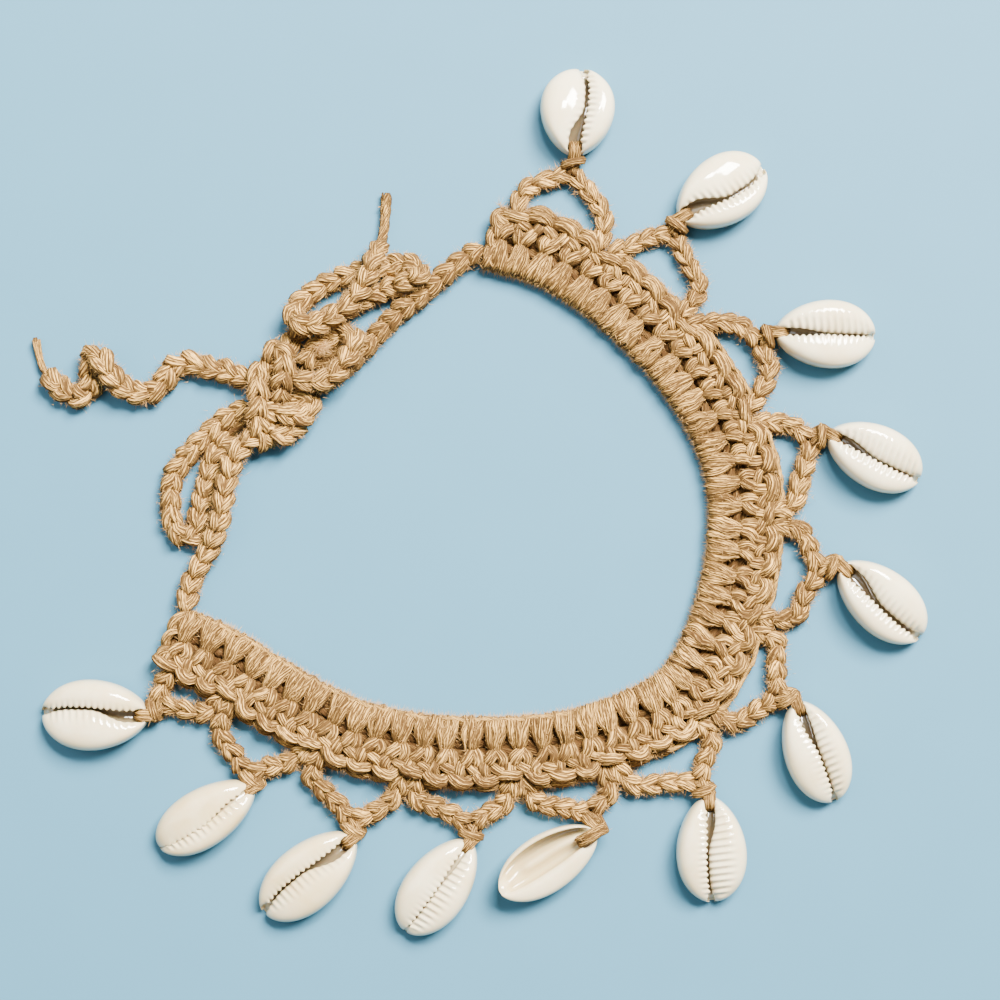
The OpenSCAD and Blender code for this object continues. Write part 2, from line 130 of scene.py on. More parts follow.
# Routes of the ties, bows and tails: x, y and height of the middle in millimetres, share of the
# thickness. A short row lies on the floor, or is at full thickness
LYING = (1.7, 1)
UPPER_TIE_ROUTE = [
    [-0.8, 42.7, 2, 0.8], [-2.4, 41.8], [-5.2, 39.8], [-8, 37.5], [-11.1, 34.9], [-14.3, 32.4],
    [-17.3, 29.5], [-19.7, 26.8], [-22, 24.3], [-24.8, 22], [-27.4, 20.3], [-29.9, 19.1, 1.7, 0.9],
]
LOWER_TIE_ROUTE = [
    [-50.8, -18.3, 2, 0.8], [-50.4, -16], [-49.5, -13.2], [-48.4, -11], [-47, -8.9, 2], [-45.8, -6.2, 3],
    [-44.8, -3, 3.6], [-44.1, 0.8, 3.8], [-43.3, 4.5, 3.8], [-42.2, 7.6, 3.8], [-40.8, 9.6, 3.8],
    [-39.1, 11.2, 3.8, 0.9],
]
UPPER_BOW_ROUTE = [
    [-31.9, 20.4, 6, 0.9], [-29.4, 20.2, 5.6], [-27, 20.5, 5.2], [-24.7, 22.1, 5.1], [-22.7, 24.8, 5.1],
    [-22, 27.4, 4.4], [-23.5, 28.7, 2.8, 0.9], [-25.5, 27.9, 1.7, 0.9], [-27.9, 26.6, 1.7, 0.9],
    [-29.6, 25, 1.7, 0.9], [-30.7, 23.3, 1.7, 0.9],
]
UPPER_TAIL_ROUTE = [
    [-33.5, 25, 1.6, 0.9], [-32.8, 27.6, 1.6, 0.9], [-30.6, 29.6, 1.6, 0.9], [-27.4, 31, 1.6, 0.9],
    [-24.4, 32, 1.6, 0.9], [-21.7, 33.4], [-18.3, 35.2], [-15.4, 36.4, 2], [-13, 37, 3.7],
    [-11.1, 38.2, 4.2], [-12, 39.8, 3.2], [-14.3, 40.1, 1.9], [-17, 39.8], [-20.5, 39.2], [-24.5, 37.9],
    [-28, 36.2], [-30.8, 34.2, 2.2], [-32.4, 32, 3.6], [-31.4, 30, 5], [-29, 29.6, 5.1],
    [-26.4, 30.6, 5.1], [-23.9, 32.3, 5.1], [-21.8, 34.5, 5.1], [-20.3, 36.8, 5.1], [-19.2, 39.3, 5.1],
    [-18.3, 41.8, 3.8, 0.9], [-17.5, 44.2, 2, 0.7], [-17, 47, 1.3, 0.6], [-16.8, 50, 1.2, 0.6],
    [-16.6, 52.3, 1.2, 0.6],
]
LOWER_BOW_ROUTE = [
    [-40.2, 16, 1.9, 0.9], [-44.4, 13.7], [-47.4, 11], [-50.4, 8], [-52.6, 4.9], [-53.3, 1.6],
    [-53.2, -1.6], [-52.6, -4.3], [-50.8, -6.3], [-49, -5], [-48.5, -2.2], [-47.7, 1], [-47, 4],
    [-46.1, 7], [-45, 9.2], [-43.4, 10.8, 1.7, 0.9],
]
LEFT_TAIL_ROUTE = [
    [-39.9, 20.4, 1.8, 0.9], [-43.8, 22], [-47.6, 22.9], [-51, 23.5], [-53.4, 22.5], [-54.4, 20.4],
    [-56, 18.7], [-58.6, 18.2], [-61.5, 19.4, 2.6], [-63.5, 21.8, 4.4], [-64.9, 24.2, 4.4],
    [-66.4, 24.6, 2.8], [-66.9, 22.4], [-66.8, 19.8], [-68, 17.9], [-70.2, 18.1], [-72.2, 19.6],
    [-74, 21.2, 1.5, 0.8], [-75.4, 23.4, 1, 0.5], [-76.4, 27.8, 1, 0.5],
]
# Chains that cross over the knot, in the same columns
KNOT_STRANDS = [
    [[-38, 22.7, 3.2, 0.9], [-38.3, 19.8, 4.8, 1.05], [-38, 16.9, 5.3, 1.1], [-38.5, 14.2, 5, 1.1],
     [-37.8, 11.3, 4], [-37, 9.4, 2.6, 0.9]],
    [[-36.6, 21.4, 3.2, 0.9], [-36, 24.9, 4.2], [-34.4, 25.8, 5, 1.05], [-33.6, 23.4, 5.6, 1.1],
     [-34.1, 19.8, 5.8, 1.1], [-34.3, 17.2, 4.4]],
    [[-37.3, 15.4, 4.2, 0.9], [-34.1, 14.9, 4.8, 0.95], [-31.3, 14.3, 4.2, 0.85],
     [-29.4, 14.9, 3.4, 0.78], [-29.2, 16.5, 3, 0.77], [-30.6, 17.5, 3.4, 0.77],
     [-32.2, 17, 3.8, 0.85], [-33.9, 16.2, 3.4, 0.9]],
    [[-38, 12.5, 2.8], [-35.8, 11.4, 3.6, 1.1], [-33.2, 11.5, 3.2, 1.05], [-31.6, 12.8, 2.2, 0.9]],
]
# Share of the thickness below which a route is plain yarn without stitches
CHAIN_SHARE = 0.76
TIES = [["upper_tie", UPPER_TIE_ROUTE], ["lower_tie", LOWER_TIE_ROUTE], ["upper_bow", UPPER_BOW_ROUTE]]
# Free cords: node, route, far end and, where they aren't the usual ones, share of the full size,
# thickness and tone of the plain end
FREE_CORDS = [
    ["upper_tail", UPPER_TAIL_ROUTE, "bare"], ["lower_bow", LOWER_BOW_ROUTE, "object"],
    ["left_tail", LEFT_TAIL_ROUTE, "bare", 1.1, 1.05, 1.9],
]
# Threads that a plain end of yarn opens into
END_THREADS = 9
# Middle and half size of the wound yarn inside the knot, and its laps
KNOT_HEART = [-34.9, 17, 2.4]
KNOT_HEART_SIZE = [3.9, 6.6, 2.2]
KNOT_LAPS = 5
# Yarn of the knot that lies low where the lower bow leaves it, a little darker as painted shade of the knot
UNDER_KNOT = [[-44.3, 11, 1], [-42.9, 12.3, 1.1], [-41.2, 13.4, 1.4], [-39.6, 15, 1.8]]
# Frayed end of yarn on the small upper bow: where it starts, then the way it points
FRAYED_END = [-27.9, 25.9, 2.9, 0.8, -0.25, 0.35]
# The same yarn where it lies under the bow, darker as painted shade
END_UNDER_BOW = [
    [-31.4, 22.6, 1], [-29.6, 23.7, 1], [-27.6, 23.8, 1], [-25.8, 24.6, 1.1], [-24.6, 26, 1.4],
]

# Strands of one stitch of the band: stitches back along it, millimetres from its inner edge, height of
# the strand's middle, share of the thickness
POST_STRANDS = [
    [[0.36, 6.4, 1, 0.7], [0.2, 4.2, 0.85, 0.9], [0.08, 1.8, 0.85, 1.1], [0.04, 0.75, 1.5, 1.15],
     [0.04, 0.75, 2.4, 1.15], [0.05, 1.5, 3, 1.15], [0.09, 2.8, 3.25, 1.05], [0.18, 4.2, 3.1, 0.9],
     [0.26, 5.4, 2.6, 0.75], [0.31, 6.6, 1.6, 0.65]],
    [[0.4, 6.4, 0.9, 0.8], [0.36, 4.2, 0.8, 0.9], [0.36, 1.8, 0.8, 1.1], [0.37, 0.72, 1.5, 1.15],
     [0.38, 0.72, 2.4, 1.15], [0.38, 1.5, 3.15, 1.15], [0.38, 3, 3.45, 1.1], [0.38, 4.4, 3.3, 1],
     [0.38, 5.6, 2.7, 0.85], [0.37, 6.6, 1.5, 0.7]],
    [[0.42, 6.4, 1, 0.7], [0.57, 4.2, 0.85, 0.9], [0.69, 1.8, 0.85, 1.1], [0.72, 0.75, 1.5, 1.15],
     [0.72, 0.75, 2.4, 1.15], [0.71, 1.5, 3, 1.15], [0.67, 2.8, 3.25, 1.05], [0.59, 4.2, 3.1, 0.9],
     [0.51, 5.4, 2.6, 0.75], [0.44, 6.4, 1.6, 0.65]],
]
# The same for the leaf-shaped strands outside the posts: thickness as a share, then the points
LEAVES = [
    [1.1, [[-0.62, 11, 0.95], [-0.3, 11.8, 0.9], [0.1, 12, 0.85], [0.55, 11.4, 0.9]]],
    [1.12, [[-0.55, 11, 0.9], [-0.3, 11.5, 2], [0.05, 11.7, 2.4], [0.36, 11.65, 2], [0.6, 11.2, 0.9]]],
    [1.35, [[0.44, 5.2, 1.5], [0.36, 5.9, 2.9], [0.22, 6.9, 3.4], [0.08, 7.9, 2.9], [0, 8.6, 1.5]]],
    [1.35, [[0.42, 5, 1.3], [0.56, 5.8, 2.7], [0.68, 6.8, 3.1], [0.64, 7.9, 2.7], [0.5, 8.7, 1.4]]],
    [1.35, [[0.16, 8, 1.5], [0.34, 8.4, 2.8], [0.58, 8.8, 3.1], [0.8, 9.3, 2.6], [0.94, 9.9, 1.4]]],
    [1.35, [[0.06, 7.2, 1.5], [-0.02, 8.1, 3], [-0.04, 9, 3.3], [0, 9.8, 2.6], [0.04, 10.4, 1.4]]],
    [1.5, [[-0.52, 9.1, 1.1], [-0.4, 9.9, 2.8], [-0.12, 10.7, 3.6], [0.2, 10.8, 3.5], [0.44, 10.1, 2.6],
           [0.54, 9.3, 1.1]]],
]
# Strands along the band under its stitches, darkened as painted shade in the gaps between them: millimetres
# from the inner edge, height, thickness
INNER_STRANDS = [
    [1.3, 1.5, 1.9], [2.8, 1.6, 2.3], [4.5, 1.4, 2.3], [6.2, 1.3, 2.3], [7.9, 1.4, 2.3], [9.5, 1.4, 2.2],
    [11, 1.3, 2],
]

# Strands that close each end of the band: millimetres beyond its end and from the inner edge, height
END_STRANDS = [
    [[-1.2, 1.6, 1], [-0.4, 3.2, 0.95], [-0.2, 6, 0.95], [-0.4, 8.8, 0.95], [-1.1, 10.8, 0.95]],
    [[-2, 0.9, 2.2], [-0.9, 1.2, 2.9], [-0.2, 2.6, 2.9], [-0.3, 4.2, 2.5], [-1, 5.4, 1.7]],
    [[-1.8, 4, 2.5], [-0.6, 4.3, 3.1], [0, 5.6, 2.8], [-0.3, 7, 2.2], [-1.1, 8, 1.6]],
    [[-2.1, 7.4, 2.6], [-0.7, 7.5, 3.2], [0, 8.8, 2.8], [-0.4, 10.2, 2.2], [-1.5, 11.2, 1.5]],
]
# Thin strands along the band's edges, paler as a painted highlight: shares of its length, place across,
# height, thickness
EDGE_STRANDS = [[0.62, 0.99, 0.45, 2.9, 0.75], [0.16, 0.56, 12.35, 2.5, 0.8]]

# Half a stitch of a crocheted chain: stitches ahead, shares of the half width, of the half height and
# of the yarn's thickness. It comes up through the stitch before, runs out and ahead over the top and
# curls under at the side
HALF_STITCH = [
    [0.06, -0.12, -0.6, 0.75], [0.2, -0.1, 0.4, 0.85], [0.46, -0.36, 0.86, 1.1], [0.78, -0.78, 0.64, 1.2],
    [1.05, -0.98, -0.02, 1.05], [1.18, -0.7, -0.6, 0.85], [1.21, -0.2, -0.74, 0.8],
]
# It comes back the same way on the other side and runs on underneath
CHAIN_STITCH = [
    *HALF_STITCH, *[[ahead, -side, up, thick] for ahead, side, up, thick in HALF_STITCH[::-1]],
    [0.4, 0.1, -0.95, 0.8], [0.8, -0.1, -0.95, 0.8],
]
# Share of the full size of the chains in the first two loops, and in the others
LOOP_SIZES = [0.86] * 2 + [0.94] * 10
# Points of the chain loops between the band and their peaks: of the first leg from the band out,
# then of the second leg from the band out
LEG_POINTS = [
    [[[6.8, 52.8]], [[20.2, 47.4], [19.1, 50.4]]],
    [[[27.7, 44.7]], [[36.4, 35.6], [35, 39.2]]],
    [[[42, 30]], [[48.2, 21.7]]],
    [[[51.6, 13]], [[52.4, -0.4], [53.4, 3.8]]],
    [[[53.2, -5], [55.4, -9.3]], [[52.4, -19.5], [54, -15.4]]],
    [[[49.2, -23.6], [49.2, -28]], [[42.4, -37.6], [45.6, -35.6]]],
    [[[38.4, -40.1], [37.2, -43.5]], [[25.1, -48], [30.9, -47.6]]],
    [[[21.2, -49.2], [19.6, -50.8]], [[8.8, -50.9], [13.7, -51.8]]],
    [[[3.3, -51.2], [0.3, -52.9]], [[-12, -50.2], [-7.4, -52]]],
    [[[-15.6, -50.2], [-18.6, -52.4]], [[-29.4, -46.2], [-27.4, -48.8], [-24.9, -51.2]]],
    [[[-33.4, -44.2], [-37.1, -45]], [[-44.6, -37], [-44.8, -39.6], [-42.4, -43]]],
    [[[-47.5, -35.8], [-51.3, -35]], [[-55, -31.6]]],
]
# Place on the floor under the camera in millimetres
CAMERA_PLACE = (2.465, 0.238)
# Half the width of the floor in metres
FLOOR_HALF = 1.5
# Colour of the even light all round
SKY_COLOUR = (0.9, 0.95, 1.0, 1)
# Soft lamps: name, place and size in metres, share of the key light's power, colour
LAMPS = [
    ["key", (0.5, 0.68, 1.0), 0.54, 1, (1.0, 0.97, 0.93)],
    ["fill", (-0.4, 0.1, 0.5), 0.6, 0.025, (0.93, 0.97, 1.0)],
    ["window", (0.06, 0.3, 0.55), 0.1, 0.04, (1.0, 0.99, 0.97)],
]


def srgb(hex_colour):
    """Linear colour of an sRGB hex value such as C8A06E."""
    parts = [int(hex_colour[i:i + 2], 16) / 255 for i in (0, 2, 4)]
    return tuple(p / 12.92 if p <= 0.04045 else ((p + 0.055) / 1.055) ** 2.4 for p in parts)


def smoothstep(x, low, high):
    t = np.clip((np.asarray(x, float) - low) / (high - low), 0, 1)
    return t * t * (3 - 2 * t)


def smooth_line(points, steps=8):
    """Smooth curve through all rows of a table; extra columns are carried along."""
    p = np.asarray(points, float)
    full = np.vstack([2 * p[0] - p[1], p, 2 * p[-1] - p[-2]])
    t = (np.arange(steps) / steps)[:, None]
    parts = []
    for i in range(1, len(p)):
        a, b, c, d = full[i - 1:i + 3]
        parts.append(0.5 * (2 * b + (c - a) * t + (2 * a - 5 * b + 4 * c - d) * t ** 2
                            + (3 * b - a - 3 * c + d) * t ** 3))
    return np.vstack(parts + [p[-1:]])


def lengths_along(line):
    return np.concatenate([[0], np.cumsum(np.linalg.norm(np.diff(line[:, :3], axis=0), axis=1))])


def read_off(at, along, table):
    """Rows of a table at given distances along it."""
    return np.column_stack([np.interp(at, along, column) for column in table.T])


def even_line(line, step):
    """The same line with its points a step apart."""
    lengths = lengths_along(line)
    count = max(4, int(round(lengths[-1] / step)) + 1)
    return read_off(np.linspace(0, lengths[-1], count), lengths, line)


def route_line(route, step):
    """Points a step apart along a route, its short rows filled up."""
    return even_line(smooth_line([[*row, *LYING[len(row) - 2:]] for row in route]), step)


def unit(v):
    return v / np.maximum(np.linalg.norm(v, axis=-1, keepdims=True), 1e-12)


def carried_sides(line, side):
    """Directions to the side and up along a line, carried along it without twist."""
    ahead = unit(np.gradient(line, axis=0))
    sides = np.empty_like(line)
    for i, h in enumerate(ahead):
        side = side - h * np.dot(side, h)
        side = side / max(np.linalg.norm(side), 1e-9)
        sides[i] = side
    return sides, np.cross(ahead, sides)


def turned(x, y, angle, move_x=0, move_y=0):
    """Two columns of points turned by an angle in radians, then moved."""
    sine, cosine = np.sin(angle), np.cos(angle)
    return move_x + x * cosine - y * sine, move_y + x * sine + y * cosine


def rings_round(line, across, up, wide, tall):
    """Rings of points about a line, above the floor, from their distances to the side and up."""
    ring = line[:, None] + (across[:, None] * wide[..., None] + up[:, None] * tall[..., None])
    ring[..., 2] = np.maximum(ring[..., 2], FLOOR_GAP)
    return ring


class Yarn:
    """Strands of plied cotton and their stray fibres, gathered for the mesh of one piece."""

    def __init__(self, settings, name):
        self.settings, self.name = settings, name
        self.rng = np.random.default_rng(SEEDS[name])
        self.points, self.strand, self.tone = [], [], []
        self.quads, self.other_faces = [], []
        self.count = 0

    def gather(self, points, strand, tone):
        """Add points with the values that the material reads."""
        self.points.append(points)
        self.strand.append(strand)
        self.tone.append(tone)
        self.count += len(points)

    def strand_along(self, line, wide, tall, side=UP, plies=5, twist=0.22, tone=None, step=0.5, belly=1):
        """One strand of plies along a line in millimetres; its points follow the plies' twist.
        Below 1, belly is the share of the thickness that its two ends thin to."""
        rng = self.rng
        line = even_line(np.asarray(line, float), step)
        size = line[:, 3] if line.shape[1] > 3 else np.ones(len(line))
        line = line[:, :3]
        rings, sides = len(line), 3 * plies
        across, up = carried_sides(line, side)
        along = lengths_along(line)
        # Its thickness swells a little, and thins in the last 0.9 mm
        swell = 1 + 0.05 * np.sin(along * rng.uniform(0.7, 1.3) + rng.uniform(0, FULL_TURN))
        ends = np.minimum(along, along[-1] - along)
        swell = swell * (0.6 + 0.4 * smoothstep(ends, 0, 0.9))
        swell = swell * (belly + (1 - belly) * np.sin(np.pi * np.clip(along / along[-1], 0, 0.999)) ** 0.8)
        ply = 2 * np.pi * np.arange(sides) / sides
        turn = ply[None, :] + (rng.uniform(0, FULL_TURN) + twist * along)[:, None]
        half = (size * swell)[:, None] * (1 + self.settings.ply_depth * np.cos(plies * ply)[None, :])
        ring = rings_round(line, across, up, wide / 2 * half * np.cos(turn), tall / 2 * half * np.sin(turn))
        index = self.count + np.arange(rings * sides).reshape(rings, sides)
        beside = np.roll(index, -1, axis=1)
        quads = np.stack([index[:-1], beside[:-1], beside[1:], index[1:]], axis=-1)
        self.quads += quads.reshape(-1, 4).tolist()
        self.other_faces += [index[0, ::-1].tolist(), index[-1].tolist()]
        place = np.stack([np.repeat(along + rng.uniform(0, 200), sides),
                          np.tile(np.cos(ply), rings), np.tile(np.sin(ply), rings)], axis=-1)
        tone = rng.uniform(0.3, 0.7) if tone is None else tone
        # Painted light and shade: paler on its upper side, where light falls, and darker where its ends are
        # tucked in, in shade
        worn = 0.5 * (ring[:, :, 2] - line[:, None, 2]) / (tall / 2)
        tucked_shade = -0.7 * (1 - smoothstep(ends, 0.0, 1.1))
        self.gather(ring.reshape(-1, 3), place, (tone + worn + tucked_shade[:, None]).ravel())

    def stray_fibres(self, amount, longest=1.5, thickest=0.06, roots=None, out=None):
        """Thin stray fibres that lift off the strands, most of them short, each to a fine point.
        Those of a fuzzy edge start at roots and lean outwards."""
        rng, amount = self.rng, int(amount * self.settings.fuzz)
        roots = np.vstack(self.points) if roots is None else roots
        chosen = rng.integers(0, len(roots), amount)
        lean = np.array([0, 0, 0.2]) if out is None else 1.1 * out[chosen]
        away = unit(rng.normal(size=(amount, 3)) * [1, 1, 0.5] + lean)
        long = 0.4 + (longest - 0.4) * rng.uniform(0, 1, amount) ** 2.5
        thick = (rng.uniform(0.55, 1, amount) * thickest)[:, None]
        tip = roots[chosen] + away * long[:, None]
        tip[:, 2] = np.clip(tip[:, 2], 0.05, None)
        across = unit(np.cross(away, [0.3, 0.2, 0.9]))
        turn = 2 * np.pi * np.arange(3) / 3
        foot = rings_round(roots[chosen], across, np.cross(away, across), thick * np.cos(turn),
                           thick * np.sin(turn))
        index = self.count + np.arange(amount * 4).reshape(amount, 4)
        self.other_faces += index[:, FIBRE_FACES].reshape(-1, 3).tolist()
        self.gather(np.concatenate([foot, tip[:, None, :]], axis=1).reshape(-1, 3),
                    np.tile([FIBRE_MARK, 1.0, 0.0], (amount * 4, 1)), np.full(amount * 4, FIBRE_TONE))

    def piece(self, node):
        """The gathered mesh as a piece of plied cotton that stands for a CAD node."""
        cotton = material_once("plied_cotton_yarn", plied_cotton, self.settings)
        values = {"strand": np.vstack(self.strand), "tone": np.concatenate(self.tone)}
        return add_piece(self.name, np.vstack(self.points), self.quads + self.other_faces, values,
                         cotton, node)


def add_object(name, data, place=(0, 0, 0)):
    """An object in the scene at a place in metres."""
    thing = bpy.data.objects.new(name, data)
    thing.location = place
    bpy.context.scene.collection.objects.link(thing)
    return thing


def add_piece(name, points, faces, values, material, node):
    """A smooth mesh of points in millimetres, with the values that its material reads at each point,
    riding on the anklet in place of a CAD node."""
    mesh = bpy.data.meshes.new(name)
    mesh.from_pydata((points * MM).tolist(), [], faces)
    for key, rows in values.items():
        kind, part = ("FLOAT_VECTOR", "vector") if rows.ndim > 1 else ("FLOAT", "value")
        mesh.attributes.new(key, kind, "POINT").data.foreach_set(part, rows.astype(np.float32).ravel())
    mesh.polygons.foreach_set("use_smooth", [True] * len(mesh.polygons))
    mesh.materials.append(material)
    mesh.update()
    piece = add_object(name, mesh)
    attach(piece, "root")
    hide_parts(node)
    return piece


class BandShape:
    """Places on the flat band: distance along its middle line, distance from its inner edge, height."""

    def __init__(self, settings):
        self.line = even_line(smooth_line(BAND_ROUTE, 12), 0.5)
        self.along = lengths_along(self.line)
        self.long = self.along[-1]
        ahead = unit(np.gradient(self.line, axis=0))
        self.out = np.column_stack([-ahead[:, 1], ahead[:, 0]])
        self.wide = settings.band_width / MM
        self.pull = settings.edge_pull / MM
        edge = self.line + self.out * self.wide / 2
        edge_along = lengths_along(edge)
        shares = np.array([FIRST_JOINT] + [row[0] for row in LOOPS]) * edge_along[-1]
        self.joints = read_off(shares, edge_along, edge)
        self.joint_along = np.interp(shares, edge_along, self.along)

    def place(self, along, across, height):
        """Points in millimetres for arrays of places on the band."""
        along, across = np.asarray(along, float), np.asarray(across, float)
        middle, out = read_off(along, self.along, self.line), read_off(along, self.along, self.out)
        beyond = np.clip(along - self.long, 0, None) + np.clip(along, None, 0)
        ahead = np.column_stack([out[:, 1], -out[:, 0]])
        edge = middle + out * self.wide / 2
        # The outer edge is drawn in within 3.2 mm of each joint
        near = np.linalg.norm(edge[:, None, :] - self.joints[None], axis=2).min(axis=1)
        pull = self.pull * np.clip(1.6 * (1 - near / 3.2), 0, 1) * smoothstep(across, 8, self.wide)
        flat = middle + ahead * beyond[:, None] + out * (across - self.wide / 2 - pull)[:, None]
        return np.column_stack([flat, height])


def new_material(name):
    material = bpy.data.materials.new(name)
    material.use_nodes = True
    material.node_tree.nodes.clear()
    return material


def add_node(material, kind, inputs=(), **settings):
    """A node with its settings and links. Inputs go by name or in order: a node, or an output of one,
    is linked, and any other value is set."""
    tree = material.node_tree
    node = tree.nodes.new("ShaderNode" + kind)
    for key, value in settings.items():
        setattr(node, key, value)
    for key, value in inputs.items() if isinstance(inputs, dict) else enumerate(inputs):
        if isinstance(value, bpy.types.Node):
            value = value.outputs[0]
        if isinstance(value, bpy.types.NodeSocket):
            tree.links.new(value, node.inputs[key])
        else:
            node.inputs[key].default_value = value
    return node


def colour_steps(node, steps):
    """Colours of a ramp from rows of place and colour."""
    ramp = node.color_ramp.elements
    ramp.remove(ramp[-1])
    ramp[0].position, ramp[0].color = steps[0][0], (*steps[0][1], 1)
    for place, colour in steps[1:]:
        ramp.new(place).color = (*colour, 1)
    return node


def plied_cotton(settings):
    """Soft plied cotton yarn, unmercerised: matt, slightly hairy, with fine fibres along its plies.
    Painted highlight makes the plies paler on their crests, and painted shade browner between them."""
    m = new_material("plied_cotton_yarn")
    place = add_node(m, "Attribute", attribute_name="strand").outputs["Vector"]
    tone = add_node(m, "Attribute", attribute_name="tone").outputs["Fac"]
    parts = add_node(m, "SeparateXYZ", [place])
    # Three patterns, by millimetres along the yarn and by the place round it: fibres 0.2 mm apart and
    # 3 mm long, coarser than real ones so that they show; slubs, soft changes of tone every 5 to 8 mm;
    # and the wander of single threads, sideways every 3 mm
    fibres, slubs, wander = [
        add_node(m, "TexNoise", {"Scale": scale, "Detail": detail, "Roughness": rough, "Vector": add_node(
            m, "VectorMath", [place, (ahead, around, around)], operation="MULTIPLY")})
        for ahead, around, scale, detail, rough in (
            (0.4, 4.2, 1.6, 3.0, 0.62), (0.16, 0.4, 1.0, 2.0, 0.5), (0.36, 0.9, 1.0, 2.0, 0.6))]
    # Single threads, 11 and 18 round the yarn, which the wander shifts
    angle = add_node(m, "Math", [parts.outputs["Z"], parts.outputs["Y"]], operation="ARCTAN2")
    threads = []
    for count, shift in ((11.0, 17.0), (18.0, -23.0)):
        turn = add_node(m, "Math", [angle, count], operation="MULTIPLY")
        turn = add_node(m, "Math", [wander, shift, turn], operation="MULTIPLY_ADD")
        threads.append(add_node(m, "Math", [turn], operation="COSINE"))
    relief = add_node(m, "Math", [threads[1], 0.6, threads[0]], operation="MULTIPLY_ADD")
    # The relief also paints the plies' crests paler and their grooves darker, as painted highlight and
    # shade. Tone adds each strand's own tone and the painted light and shade set on it
    height = add_node(m, "Math", [relief, 0.17, fibres], operation="MULTIPLY_ADD")
    shade = add_node(m, "Math", [tone, 0.26, height], operation="MULTIPLY_ADD")
    shade = add_node(m, "Math", [slubs, 0.4, shade], operation="MULTIPLY_ADD")
    shade = add_node(m, "Math", [shade, 0.35], operation="SUBTRACT")
    # Painted shade between the plies, the yarn's tan, painted highlight on the crests
    ramp = colour_steps(add_node(m, "ValToRGB", [shade]), [
        (0.32, settings.valley_shade_colour), (0.63, settings.yarn_colour), (0.96, settings.crest_highlight_colour)])
    # Stray fibres, whose place along a strand is below zero, have a colour of their own, paler than the
    # yarn to paint the light that shines through them.
    # A colour mix has its share at input 0, its colours at inputs 6 and 7 and its result at output 2
    is_fibre = add_node(m, "Math", [parts.outputs["X"], -1.0], operation="LESS_THAN")
    cotton = add_node(m, "Mix", {0: is_fibre, 6: ramp, 7: (*settings.fibre_colour, 1)}, data_type="RGBA")
    bump = add_node(m, "Bump", {"Strength": 1.0, "Distance": 0.3 * MM, "Height": height})
    add_node(m, "OutputMaterial", [add_node(m, "BsdfPrincipled", {
        "Base Color": cotton.outputs[2], "Roughness": 0.85, "Sheen Weight": 0.1, "Sheen Roughness": 0.5,
        "Sheen Tint": (*settings.crest_highlight_colour, 1), "Specular IOR Level": 0.15, "Normal": bump})])
    return m


def cowrie_enamel(settings):
    """Natural cowrie enamel, as the animal laid it down and the sea polished it: hard, glossy and
    nearly white, creamier in patches; painted shade greys it inside the slit and the shell, and it is a
    little greyer at the cut edge."""
    m = new_material("cowrie_enamel")
    place = add_node(m, "TexCoord").outputs["Object"]
    tone = add_node(m, "Attribute", attribute_name="tone").outputs["Fac"]
    depth = add_node(m, "Attribute", attribute_name="depth").outputs["Fac"]
    # Cream patches 5 to 8 mm across, then scratches and pits of 0.3 mm
    patches = add_node(m, "TexNoise", {"Vector": place, "Scale": 160.0, "Detail": 3.0, "Roughness": 0.55})
    wear = add_node(m, "TexNoise", {"Vector": place, "Scale": 2600.0, "Detail": 4.0, "Roughness": 0.65})
    cream = add_node(m, "Math", [patches, 0.9, tone], operation="MULTIPLY_ADD", use_clamp=True)
    skin = colour_steps(add_node(m, "ValToRGB", [cream]),
                        [(0.4, settings.enamel_colour), (0.95, settings.cream_colour)])
    # Where the depth attribute is high the enamel turns grey beige: painted shade in the slit, inside the
    # shell and in the furrows
    enamel = add_node(m, "Mix", {0: depth, 6: skin, 7: (*settings.inner_shade_colour, 1)}, data_type="RGBA")
    bump = add_node(m, "Bump", {"Strength": 0.05, "Distance": 0.05 * MM, "Height": wear})
    gloss = add_node(m, "Math", [wear, 0.14, 0.04], operation="MULTIPLY_ADD")
    add_node(m, "OutputMaterial", [add_node(m, "BsdfPrincipled", {
        "Base Color": enamel.outputs[2], "Roughness": gloss, "IOR": 1.53, "Coat Weight": 0.6,
        "Coat Roughness": 0.06, "Subsurface Weight": 0.12, "Subsurface Scale": 0.8 * MM,
        "Normal": bump})])
    return m


def matt_paint(settings):
    """Matt floor paint, rolled on: even and pale, with a faint mottle 15 to 20 mm across."""
    m = new_material("matt_painted_floor")
    place = add_node(m, "TexCoord").outputs["Object"]
    mottle = add_node(m, "TexNoise", {"Vector": place, "Scale": 60.0, "Detail": 3.0})
    base = np.array(settings.floor_colour[:])
    tint = colour_steps(add_node(m, "ValToRGB", [mottle]), [(0.3, base * 0.97), (0.7, base)])
    add_node(m, "OutputMaterial", [add_node(m, "BsdfPrincipled", {"Base Color": tint, "Roughness": 0.7})])
    return m


def material_once(name, make, settings):
    return bpy.data.materials.get(name) or make(settings)


def length_setting(name, description, default, low, high):
    """A length that a user may change, from millimetres."""
    return FloatProperty(name=name, description=description, default=default * MM, min=low * MM,
                         max=high * MM, unit="LENGTH", precision=5)


def share_setting(name, description, default, high):
    """A share or amount that a user may change."""
    return FloatProperty(name=name, description=description, default=default, min=0, max=high,
                         subtype="FACTOR")


def colour_setting(name, description, hex_colour):
    """A colour that a user may change, from an sRGB hex value."""
    return FloatVectorProperty(name=name, description=description, default=srgb(hex_colour),
                               subtype="COLOR", size=3, min=0, max=1)


